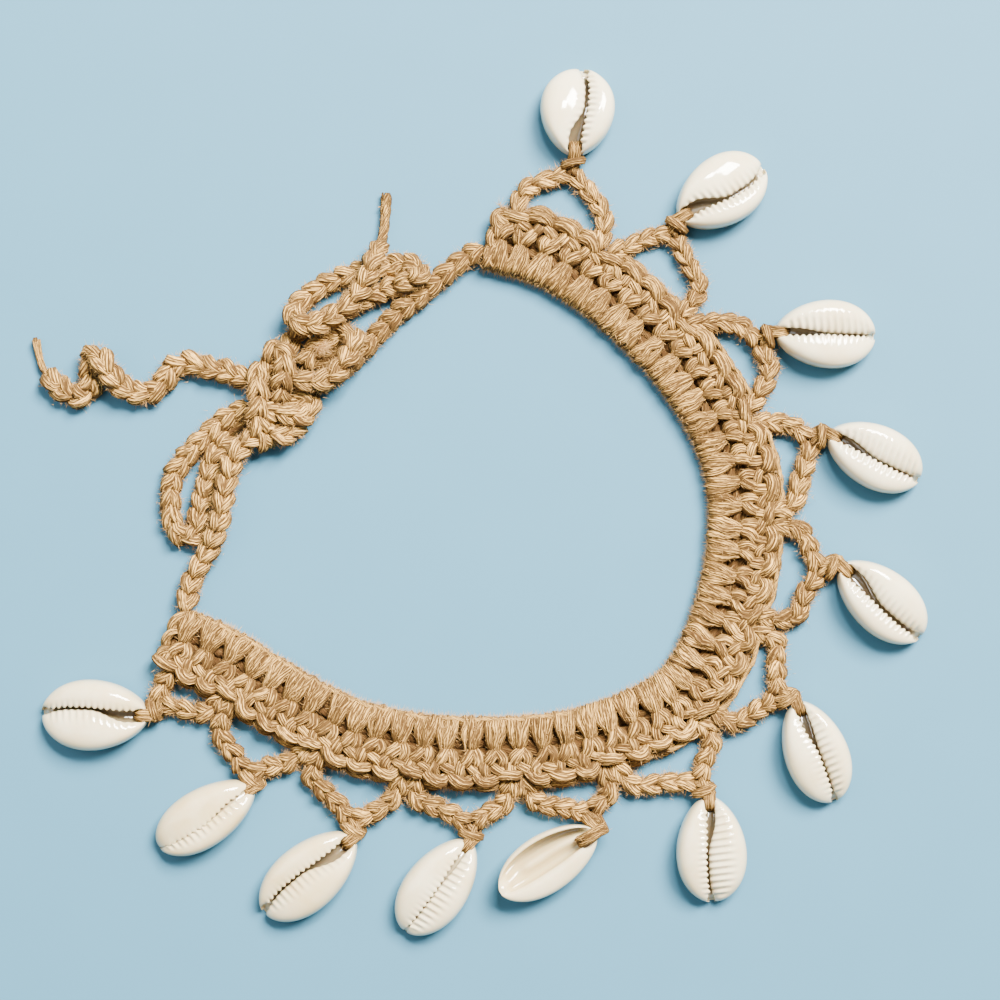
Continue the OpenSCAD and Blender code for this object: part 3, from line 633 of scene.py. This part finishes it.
class YarnSettings(PropertyGroup):
    """Sizes and colours of the crocheted cotton."""

    chain_width: length_setting("Chain width", "Width of a crocheted chain", 3.8, 2, 6)
    chain_height: length_setting("Chain height", "Height of a crocheted chain", 3.3, 2, 5)
    chain_pitch: length_setting("Chain stitch", "Length of one chain stitch", 2.95, 2, 6)
    yarn_width: length_setting("Yarn width", "Thickness of the yarn in a chain", 1.75, 1, 2.5)
    post_width: length_setting("Strand width", "Thickness of the yarn's strands in the band", 1.5, 0.8, 2.4)
    band_width: length_setting("Band width", "Width of the crocheted band", 13, 10, 16)
    edge_pull: length_setting(
        "Edge pull", "How far the outer edge is drawn in where a chain is worked in", 1.8, 0, 3)
    stitch_count: IntProperty(
        name="Stitches", description="Stitches from one end of the band to the other", default=48,
        min=40, max=56)
    ply_depth: share_setting("Ply depth", "How deep the grooves between plies are", 0.15, 0.3)
    fuzz: share_setting("Stray fibres", "Amount of stray fibres", 1, 3)
    yarn_colour: colour_setting("Yarn", "Tan of the cotton", "664A24")
    # Painted highlight on the crests of the plies
    crest_highlight_colour: colour_setting("Crests", "Pale tan where plies stand out", "FBC369")
    # Paler than the yarn: painted light that shines through the thin fibres
    fibre_colour: colour_setting("Stray fibre", "Pale tan of the stray fibres", "B58C55")
    # Painted shade between the plies
    valley_shade_colour: colour_setting("Between plies", "Brown between the plies", "42290E")


class ShellSettings(PropertyGroup):
    """Sizes and colours of the cut cowries."""

    height: length_setting("Shell height", "Height of a cut cowrie over its cut back", 5.2, 4, 7)
    wall: length_setting("Wall", "Thickness of a shell's wall", 1.3, 0.6, 2)
    lift: length_setting("Lift", "How far the yarn under a shell lifts that end", 1.9, 0, 3)
    tooth_pitch: length_setting("Tooth spacing", "Distance between two teeth of a lip", 1.05, 0.5, 2)
    enamel_colour: colour_setting("Enamel", "Nearly white enamel", "DCCFAC")
    cream_colour: colour_setting("Cream patches", "Creamy patches of the enamel", "CAB382")
    # Grey beige of the painted shade inside the slit and the shell
    inner_shade_colour: colour_setting("Inside", "Grey beige inside the slit and the shell", "62533B")


class StageSettings(PropertyGroup):
    """Floor, light and camera."""

    floor_colour: colour_setting("Floor", "Pale floor", "3C7188")
    key_power: FloatProperty(
        name="Key light", description="Power of the soft key light", default=128, min=0, max=500,
        unit="POWER")
    sky_strength: share_setting("Sky light", "Strength of the even light all round", 0.28, 5)
    camera_height: length_setting("Camera height", "Height of the camera over the floor", 450, 200, 2000)
    frame_width: length_setting("Frame width", "Width of the picture on the floor", 170, 50, 500)


def yarn_end(yarn, rest, thick, tone):
    """The plain end of the yarn beyond the last stitch, its plies opening towards the tip."""
    rng = yarn.rng
    yarn.strand_along(rest, thick, thick, twist=0.5)
    side = np.cross(unit(np.gradient(rest, axis=0)), UP)
    share = np.linspace(0, 1, len(rest))
    for _ in range(END_THREADS):
        turn = rng.uniform(0, FULL_TURN) + share
        spread = 0.41 * thick + 0.45 * share ** 3 * rng.uniform(0.2, 1)
        thread = rest + (side * (np.cos(turn) * spread)[:, None]
                         + np.outer(0.8 * np.sin(turn) * spread, UP))
        last = len(rest) - int(rng.integers(0, 3))
        yarn.strand_along(thread[:last], 0.37 * thick, 0.33 * thick, plies=2, twist=1.5, tone=tone)


def chain(yarn, route, size=1.0, end_thick=1.5, end_tone=0.7):
    """A crocheted chain along a route: one strand worked into stitches, thinning to plain yarn
    where the route's share of the thickness is small."""
    rng, settings = yarn.rng, yarn.settings
    line = route_line(route, 0.4)
    along = lengths_along(line)
    pitch, thick = settings.chain_pitch / MM, settings.yarn_width / MM
    half_wide = (settings.chain_width - settings.yarn_width) / 2 / MM * size
    half_tall = (settings.chain_height - settings.yarn_width) / 2 / MM * size
    reach = along[line[:, 3] >= CHAIN_SHARE][-1]
    count = max(2, int(round((reach + 0.4 * pitch) / pitch)))
    pitch = (reach + 0.3 * pitch) / count
    rows = np.tile(CHAIN_STITCH, (count, 1))
    rows[:, 0] += np.repeat(np.arange(count) - 0.25, len(CHAIN_STITCH))
    rows[:, :3] += rng.normal(size=(len(rows), 3)) * [0.05, 0.08, 0.08]
    rows[:, 0] = np.clip(rows[:, 0] * pitch, 0, reach)
    ahead = unit(np.gradient(line[:, :3], axis=0))
    left = unit(np.cross(UP, ahead))
    curl = 0.3 * np.sin(along * 0.21 + rng.uniform(0, FULL_TURN))
    table = np.column_stack([line, left, np.cross(ahead, left), curl])

    def put(at, y, z):
        """Points at a distance along the chain, by shares of its half width and half height."""
        spot, share, side, over, turn = np.split(read_off(at, along, table), [3, 4, 7, 10], axis=1)
        y, z = y[:, None] * half_wide * share, z[:, None] * half_tall * share
        y, z = turned(y, z, turn)
        return spot + side * y + over * z

    points = put(rows[:, 0], rows[:, 1], rows[:, 2])
    points[:, 2] = np.maximum(points[:, 2], thick / 2 * 0.9)
    points = np.column_stack([points, rows[:, 3]])
    yarn.strand_along(smooth_line(points, 5), thick * size, thick * size, step=0.58)
    amount = int(EDGE_FIBRES * reach)
    at = rng.uniform(0, reach, amount)
    sign = rng.choice([-1.0, 1.0], amount)
    roots = put(at, sign * rng.uniform(0.9, 1.5, amount), rng.uniform(-0.4, 1.1, amount))
    yarn.stray_fibres(amount, 1.8, 0.055, roots, read_off(at, along, left) * sign[:, None])
    if reach < along[-1] - 0.5:
        yarn_end(yarn, line[along >= reach - 2][:, :3], end_thick, end_tone)


class FreeCords(Operator):
    """Make the lower bow and the two tails that lie loose on the table"""

    bl_idname = "anklet.free_cords"
    bl_label = "Bows and Tails"

    def execute(self, context):
        settings = context.scene.anklet_yarn
        for node, route, far_end, *look in FREE_CORDS:
            yarn = Yarn(settings, node + "_chain")
            chain(yarn, route, *look)
            path = route_line(route, 1.5)[:, :3]
            long = lengths_along(path)[-1]
            yarn.stray_fibres(CORD_FIBRES * long, 1.2)
            yarn.piece(node)
        return {"FINISHED"}


class CameraOver(Operator):
    """Put the camera straight above the anklet"""

    bl_idname = "anklet.camera"
    bl_label = "Camera"

    def execute(self, context):
        stage = context.scene.anklet_stage
        data = bpy.data.cameras.new("camera")
        data.sensor_fit = "HORIZONTAL"
        data.sensor_width = 36
        data.lens = data.sensor_width * stage.camera_height / stage.frame_width
        data.clip_start = 0.01
        x, y = CAMERA_PLACE
        context.scene.camera = add_object("camera", data, (x * MM, y * MM, stage.camera_height))
        return {"FINISHED"}


def work_stitch(yarn, shape, pitch, k, table, thick, tall, loose, drift, **look):
    """Work a strand of stitch k of the band, its points a little loose."""
    rows = np.array(table, float)
    rows[:, :3] += yarn.rng.normal(size=(len(rows), 3)) * [loose / pitch, loose, loose * 0.6]
    rows[:, 0] += drift
    rows[:, 2] = np.maximum(rows[:, 2], tall / 2 + 0.05)
    fine = smooth_line(rows, 6)
    middle = (k + 0.5) * pitch
    along = np.clip(middle - (fine[:, 0] - 0.34) * pitch, -0.3, shape.long + 0.8)
    places = np.column_stack([shape.place(along, fine[:, 1], fine[:, 2]), fine[:, 3:]])
    start, stop = shape.place([middle, middle + 1], [6.5, 6.5], [0, 0])
    yarn.strand_along(places, thick, tall, side=unit(stop - start), **look)


def run_along(yarn, shape, at, across, height, loose, thick, tall, **look):
    """Lay a strand along the band at a distance from its inner edge, a little loose."""
    wave = yarn.rng.normal(size=(2, len(at))) * loose
    line = shape.place(at, across + wave[0], np.maximum(height + wave[1], thick / 2 + 0.1))
    yarn.strand_along(smooth_line(line, 3), thick, tall, plies=3, **look)


class Band(Operator):
    """Crochet the flat band: wrapped posts along the inside, hooked loops and an outer braid"""

    bl_idname = "anklet.band"
    bl_label = "Band"

    def execute(self, context):
        settings = context.scene.anklet_yarn
        shape = BandShape(settings)
        pitch = shape.long / settings.stitch_count
        wide = settings.post_width / MM
        fringe, posts, braid, inner = [
            Yarn(settings, "band_" + part) for part in ("fringe", "posts", "braid", "inner")]

        for k in range(settings.stitch_count):
            lean = posts.rng.normal() * 0.05
            for table in POST_STRANDS:
                thick = wide * posts.rng.uniform(0.9, 1.12)
                work_stitch(posts, shape, pitch, k, table, thick, wide * 0.95, 0.12, lean, plies=4)
        for k in range(settings.stitch_count):
            drift = braid.rng.normal() * 0.03
            for size, table in LEAVES:
                thick = wide * (size * braid.rng.uniform(0.93, 1.07))
                work_stitch(braid, shape, pitch, k, table, thick, thick * 0.85, 0.13, drift, belly=0.35)
        for end, sign in ((0, -1), (shape.long + 0.6, 1)):
            for table in END_STRANDS:
                rows = smooth_line(table, 6)
                line = shape.place(end + sign * rows[:, 0], rows[:, 1], rows[:, 2])
                braid.strand_along(line, 1.9, 1.6, belly=0.6)
        for start, stop, across, height, thick in EDGE_STRANDS:
            at = np.arange(start * shape.long, stop * shape.long, 1.2)
            # Paler tone: painted highlight along the edges
            run_along(braid, shape, at, across, height, 0.12, thick, thick, twist=1.0, tone=1.1)
        posts.stray_fibres(POST_FIBRES)
        braid.stray_fibres(BRAID_FIBRES)
        for lean, inset, amount in FRINGES:
            across = shape.wide - inset if lean > 0 else inset
            at = fringe.rng.uniform(0, shape.long, 2 * amount)
            roots = shape.place(at, np.full(len(at), across), fringe.rng.uniform(1.0, 2.5, len(at)))
            out = read_off(at, shape.along, shape.out) * lean
            fringe.stray_fibres(amount, 1.9, 0.05, roots, np.column_stack([out, np.zeros(len(at))]))
        at = np.linspace(-0.2, shape.long + 0.2, int(shape.long / 1.4))
        for across, height, thick in INNER_STRANDS:
            # Their dark tone is painted shade in the gaps between the stitches
            run_along(inner, shape, at, across, height, 0.22, thick, thick * 0.9, twist=0.5, tone=-0.6,
                      step=1.0)
        for yarn in (fringe, posts, braid, inner):
            yarn.piece("band")
        return {"FINISHED"}


class Edging(Operator):
    """Crochet the chain loops of the edging, with the yarn that goes through each shell"""

    bl_idname = "anklet.edging"
    bl_label = "Chain Loops"

    def execute(self, context):
        settings = context.scene.anklet_yarn
        shape = BandShape(settings)
        for i, row in enumerate(LOOPS):
            node = f"scallop_{i + 1:02d}"
            yarn = Yarn(settings, node + "_chain")
            ends = []
            for joint, sign, points in zip((i, i + 1), (1, -1), LEG_POINTS[i]):
                worked_in = shape.place([shape.joint_along[joint] + 0.9 * sign], [shape.wide - 0.4], [0])
                flat = np.array([worked_in[0, :2], *points, row[1:3]])
                last = flat[-1] - flat[-2]
                flat[-1] = flat[-2] + last * (1 - 1.0 / np.linalg.norm(last))
                heights = [2.0] + [1.55] * (len(flat) - 1)
                leg = np.column_stack([flat, heights, np.ones(len(flat))])
                chain(yarn, leg, LOOP_SIZES[i])
                ends.append(leg[-1, :3])
            self.through_shell(yarn, i, row, ends)
            yarn.stray_fibres(PIECE_FIBRES)
            yarn.piece(node)
        return {"FINISHED"}

    def through_shell(self, yarn, i, row, ends):
        """Two strands from the chain over the end of the shell, through its slit and back under it,
        and the turn that closes the peak."""
        way = YARN_WAY_FLIPPED if i == FLIPPED_SHELL else YARN_WAY
        turn = math.radians(row[5])
        ahead = np.array([math.cos(turn), math.sin(turn), 0])
        left = np.array([-math.sin(turn), math.cos(turn), 0])
        root = np.array([row[3], row[4], 0])
        for shift, first, last in ((-0.45, *ends), (0.45, *ends[::-1])):
            near = [root + ahead * a + left * shift + [0, 0, z] for a, z in way]
            line = smooth_line([first + [0, 0, 0.5], *near, last], 6)
            yarn.strand_along(line, 1.25, 1.25, side=left, plies=4)
        middle = 0.45 * np.array([*row[1:3], 0]) + 0.55 * root
        line = smooth_line([middle + ahead * a + left * b + [0, 0, z] for a, b, z in PEAK_TURN], 6)
        yarn.strand_along(line, 1.5, 1.3, side=ahead)


def between(x, start, full, fading, stop):
    """Share that rises from 0 to 1 and falls back to 0."""
    return smoothstep(x, start, full) * (1 - smoothstep(x, fading, stop))


def cowrie(settings, long, wide, look, opened):
    """Points, faces and painted shade of one cut cowrie, its mouth up and its yarn end at the origin."""
    swing, open_wide, narrow = look[:3]
    # Shares of its length, closer together towards its blunt ends
    ends = 0.09 * (1 - np.cos(np.linspace(0, np.pi / 2, 9)))
    u = np.concatenate([0.004 + ends, np.linspace(0.094, 0.906, 84)[1:-1], 0.996 - ends[::-1]])
    half = wide / 2 * (1 - (2 * u - 1) ** 2) ** 0.55 * (1 + 0.1 * (2 * u - 1))
    top = settings.height / MM * (4 * u * (1 - u)) ** 0.35
    # The slit is widest near the yarn, and a shallow notch ends it
    closing = smoothstep(u, 0.18, 0.5)
    gap = open_wide * (1 - closing) + narrow * closing + min(narrow, 0.55) * smoothstep(u, 0.86, 0.97)
    gap = np.minimum(gap, 1.2 * half)
    middle = swing * (smoothstep(u, 0.15, 0.55) - smoothstep(u, 0.7, 1) / 2)
    middle = np.clip(middle, -0.35 * half, 0.35 * half)
    deepest = 2.0 if opened else min(3.2, 6 * narrow)
    slit_deep = deepest if opened else np.maximum(deepest - 1.3 * smoothstep(u, 0.8, 0.93), 0.5)
    floor = np.maximum(0.12 * top, top - slit_deep)
    worn = between(u, 0.05, 0.13, 0.88, 0.95)
    rings, depths = [], []
    for row in zip(u * long, u, half, top, middle, gap, floor, worn):
        cut = Cut(*row)
        right, left = [lobe(cut, sign, look, settings.tooth_pitch / MM, opened) for sign in (-1, 1)]
        ceiling = (opened_inside if opened else inside)(cut, settings.wall / MM)
        ring = np.vstack([right[::-1], left[1:], ceiling])
        rings.append(np.column_stack([np.full(len(ring), cut.along), ring[:, :2]]))
        # Less painted shade at the far end's notch
        depths.append(ring[:, 2] * (1 - 0.8 * smoothstep(cut.share, 0.86, 0.95)))
    index = np.arange(len(u) * len(ring)).reshape(len(u), -1)
    beside = np.roll(index, -1, axis=1)
    quads = np.stack([index[:-1], index[1:], beside[1:], beside[:-1]], axis=-1).reshape(-1, 4)
    faces = quads.tolist() + [index[0].tolist(), index[-1, ::-1].tolist()]
    # Painted shade is stronger in deeper slits and weaker in the shell with its cut back up
    shade = 0.6 if opened else 0.25 + 0.75 * deepest / 3.2
    return np.vstack(rings), faces, np.concatenate(depths) * shade


def lobe(cut, sign, look, pitch, opened):
    """Half of a cross-section from the slit's floor over one lobe to its rim: to the side, up, painted
    shade.
    The right lobe is the outer lip with its row of teeth, the left one rolls softly into the slit."""
    right = sign < 0
    ridges, teeth = look[3:5]
    half, top, floor = cut.half, cut.top, cut.floor
    inner = cut.gap / 2 + sign * cut.middle
    soft = 0 if right else smoothstep(cut.share, 0.2, 0.5)
    lip = max(top - min(0.9 + 0.8 * soft, (0.3 + 0.2 * soft) * top), floor + 0.4)
    crest = inner + (half - inner) * (0.42 if right else 0.5)
    # From the lip, at a turn of -90 degrees, over the crest to the rim
    turn = np.radians(np.concatenate([np.linspace(-90, 0, 14), np.linspace(0, 90, 9)[1:]]))
    sine, cosine = np.sin(turn), np.maximum(np.cos(turn), 0)
    if right:
        tooth = (0.5 + 0.5 * math.cos(2 * math.pi * cut.along / pitch)) ** 0.7
        furrow = teeth * smoothstep(-turn, 0.0, 0.8) * (1 - tooth)
        inward, power, dark = 0.38 * smoothstep(-turn, 0.5, 1.25) * tooth, 0.6, 0.5
    else:
        start = 0.7 - 1.2 * ridges
        tooth = 0.5 + 0.5 * np.cos(2 * math.pi * (cut.along / (1.15 * pitch) + 0.3 * turn))
        relief = smoothstep(-turn, start, start + 0.8) * (1 - 0.6 * smoothstep(-turn, 1.2, 1.57))
        furrow = min(1.4 * ridges, 1) * relief * (1 - tooth)
        inward, power, dark = 0.12 * smoothstep(-turn, 0.6, 1.3) * tooth, 0.8, 0.4
    y = np.where(turn < 0, crest - (crest - inner) * abs(sine) ** 0.9 - inward * cut.worn,
                 crest + (half - crest) * abs(sine) ** 0.9)
    z = np.where(turn < 0, lip + (top - lip) * cosine ** power, 0.28 * top + 0.72 * top * cosine ** 0.7)
    # Painted shade, darker down the slope into the slit and in the furrows between teeth and ridges
    shade = np.where(turn < 0, dark * smoothstep(-turn, 1.15, 1.57) + 0.16 * furrow, 0)
    rim = [[0.985 * half, 0.1 * top, 0.1], [0.93 * half, 0, 0.2]]
    if opened and right:
        rim = [[0.94 * half, 0.16 * top, 0], [0.8 * half, 0.05 * top, 0], [0.55 * half, 0, 0]]
    # The slit's floor and the slope up from it are painted darkest, as shade
    rows = np.vstack([
        [[sign * cut.middle, floor, 1], [inner - 0.1 * cut.gap, floor, 1],
         [inner + 0.25, floor + 0.5 * (lip - floor), 0.9], [inner + 0.1, lip - 0.2, 0.6]],
        np.column_stack([y, z - 0.38 * furrow * cut.worn, shade]), rim])
    return rows * [sign, 1, 1]


def inside(cut, wall):
    """Inside of a cross-section from the left rim over the back of the slit to the right rim."""
    left, room = max(cut.half - wall, 0.3 * cut.half), max(cut.top - wall, 0)
    low = max(min(0.6 * room, cut.floor - 0.25), 0)
    sides = []
    for sign in (1, -1):
        lip = min(cut.gap / 2 + sign * cut.middle + 0.7, 0.8 * left)
        sides.append(np.array([
            [left, 0], [0.98 * left, 0.45 * room], [0.86 * left, 0.82 * room],
            [0.7 * left + 0.3 * lip, room], [0.3 * left + 0.7 * lip, 0.9 * room], [lip, low]]) * [sign, 1])
    rows = np.vstack([sides[0], [cut.middle, low], sides[1][::-1]])
    deep = between(cut.share, 0.06, 0.15, 0.86, 0.95)
    # The inside of the shell gets a little painted shade
    return np.column_stack([rows[:, 0], rows[:, 1] * deep, np.full(len(rows), 0.3)])


def opened_inside(cut, wall):
    """The same for a shell with its cut back up: a deep left wall, the rolled column of the mouth
    with a dent in it, and a second hollow before the broad right rim. Its third column is painted shade,
    darker on the walls, in the dent and towards the yarn end."""
    left, right = 0.85 * cut.half, -0.28 * cut.half
    rows = np.array([
        [1, 0, 0.1], [0.97, 0.5, 0.45], [0.86, 0.85, 0.65], [0.66, 1, 0.7], [0.42, 0.92, 0.6],
        [0.2, 0.6, 0.35], [0.02, 0.4, 0.2], [-0.18, 0.42, 0.2], [-0.38, 0.56, 0.35],
        [-0.62, 0.74, 0.6], [-0.82, 0.74, 0.65], [-0.96, 0.4, 0.4], [-1, 0, 0]])
    # The dent is deeper and painted darker as shade
    dent = math.exp(-((cut.share - 0.77) / 0.07) ** 2)
    rows[5:9, 1:] += dent * np.array([[0.05, 0.1], [0.2, 0.3], [0.2, 0.3], [0.05, 0.1]])
    deep = between(cut.share, 0.04, 0.13, 0.88, 0.97)
    # Painted shade grows towards the yarn end
    return np.column_stack([
        (left + right) / 2 + rows[:, 0] * (left - right) / 2,
        rows[:, 1] * max(cut.top - wall, 0) * deep, rows[:, 2] * (1.0 - 0.55 * cut.share)])


class Shells(Operator):
    """Make the twelve cut cowries"""

    bl_idname = "anklet.shells"
    bl_label = "Cowries"

    def execute(self, context):
        settings = context.scene.anklet_shell
        enamel = material_once("cowrie_enamel", cowrie_enamel, settings)
        lift = settings.lift / MM
        for i, (row, look) in enumerate(zip(LOOPS, SHELL_LOOKS)):
            node, opened = f"shell_{i + 1:02d}", i == FLIPPED_SHELL
            points, faces, depth = cowrie(settings, row[6], row[7], look, opened)
            if opened:
                points = points * [1, -1, -1] + [0, 0, settings.height / MM]
            else:
                points[:, 0], points[:, 2] = turned(
                    points[:, 0], points[:, 2], -math.asin(lift / row[6]), 0, lift)
            x, y = turned(points[:, 0], points[:, 1], math.radians(row[5]), row[3], row[4])
            points = np.column_stack([x, y, np.maximum(points[:, 2], FLOOR_GAP)])
            # In the shell with its cut back up, painted shade also makes the hollow creamier
            values = {"depth": depth, "tone": look[5] + (2.2 if opened else 0.0) * depth}
            add_piece(node + "_cowrie", points, faces, values, enamel, node)
        return {"FINISHED"}


class Ties(Operator):
    """Crochet the two ties that run from the band's ends to the knot, and the small upper bow"""

    bl_idname = "anklet.ties"
    bl_label = "Ties"

    def execute(self, context):
        for node, route in TIES:
            yarn = Yarn(context.scene.anklet_yarn, node + "_chain")
            chain(yarn, route)
            if node == "upper_bow":
                self.frayed_end(yarn)
            yarn.stray_fibres(PIECE_FIBRES)
            yarn.piece(node)
        return {"FINISHED"}

    def frayed_end(self, yarn):
        """The end of yarn that frays out over the bow, and the same yarn where it lies under it."""
        roots = np.array(FRAYED_END[:3]) + yarn.rng.normal(size=(FRAYED_FIBRES, 3)) * [0.35, 0.35, 0.25]
        out = np.tile(unit(np.array(FRAYED_END[3:])), (FRAYED_FIBRES, 1))
        yarn.stray_fibres(FRAYED_FIBRES, 3.2, 0.07, roots, out)
        for shift in (-0.55, 0.45):
            line = smooth_line(np.array(END_UNDER_BOW) + [0, shift, 0], 6)
            # Darker tone: painted shade under the bow
            yarn.strand_along(line, 1.7, 1.5, tone=0.1)


class Knot(Operator):
    """Wind the knot of the bow"""

    bl_idname = "anklet.knot"
    bl_label = "Knot"

    def execute(self, context):
        yarn = Yarn(context.scene.anklet_yarn, "knot_chains")
        for strand in KNOT_STRANDS:
            chain(yarn, strand)
        heart, size = KNOT_HEART, KNOT_HEART_SIZE
        turn = np.linspace(0, 2 * np.pi, 15)
        for lap in range(KNOT_LAPS):
            y = -0.75 + 0.38 * lap
            wide = math.sqrt(1 - y * y)
            ring = np.column_stack([
                heart[0] + (size[0] - 0.8) * wide * np.cos(turn),
                heart[1] + size[1] * y + 0.5 * np.sin(turn),
                heart[2] + (size[2] - 0.8) * wide * np.sin(turn)])
            # Darker tone: painted shade inside the knot
            yarn.strand_along(smooth_line(ring, 4), 2.6, 1.7, side=(0, 1, 0), tone=-0.4)
        # Darker tone: painted shade of the knot
        yarn.strand_along(smooth_line(UNDER_KNOT, 6), 2.3, 1.9, tone=0.2)
        yarn.stray_fibres(PIECE_FIBRES)
        yarn.piece("knot")
        return {"FINISHED"}


class Stage(Operator):
    """Lay the floor and set the lights"""

    bl_idname = "anklet.stage"
    bl_label = "Floor and Lights"

    def execute(self, context):
        stage = context.scene.anklet_stage
        mesh = bpy.data.meshes.new("floor")
        corners = [(x * FLOOR_HALF, y * FLOOR_HALF, 0) for x, y in ((-1, -1), (1, -1), (1, 1), (-1, 1))]
        mesh.from_pydata(corners, [], [(0, 1, 2, 3)])
        mesh.materials.append(matt_paint(stage))
        add_object("floor", mesh)
        for name, place, size, share, colour in LAMPS:
            data = bpy.data.lights.new(name, "AREA")
            data.size, data.energy, data.color = size, stage.key_power * share, colour
            x, y, z = place
            add_object(name, data, place).rotation_euler = (
                math.atan2(math.hypot(x, y), z), 0, math.atan2(y, x) + math.pi / 2)
        world = bpy.data.worlds.new("studio")
        world.use_nodes = True
        background = world.node_tree.nodes["Background"].inputs
        background["Color"].default_value = SKY_COLOUR
        background["Strength"].default_value = stage.sky_strength
        context.scene.world = world
        return {"FINISHED"}


class AnkletPanel(Panel):
    """Sizes, colours and steps of the anklet"""

    bl_idname = "VIEW3D_PT_anklet"
    bl_label = "Crochet Anklet"
    bl_space_type = "VIEW_3D"
    bl_region_type = "UI"
    bl_category = "Anklet"

    def draw(self, context):
        for name in GROUPS:
            group = getattr(context.scene, name)
            box = self.layout.box()
            for key in group.__annotations__:
                box.prop(group, key)
        for step in STEPS:
            self.layout.operator(step.bl_idname)


GROUPS = {"anklet_yarn": YarnSettings, "anklet_shell": ShellSettings, "anklet_stage": StageSettings}
STEPS = (CameraOver, FreeCords, Band, Edging, Shells, Ties, Knot, Stage)
CLASSES = (*GROUPS.values(), *STEPS, AnkletPanel)


def register():
    for cls in CLASSES:
        bpy.utils.register_class(cls)
    for name, group in GROUPS.items():
        setattr(bpy.types.Scene, name, PointerProperty(type=group))


def unregister():
    for name in GROUPS:
        delattr(bpy.types.Scene, name)
    for cls in reversed(CLASSES):
        bpy.utils.unregister_class(cls)


def main():
    register()
    for step in STEPS:
        group, action = step.bl_idname.split(".")
        getattr(getattr(bpy.ops, group), action)()


if __name__ == "__main__":
    main()
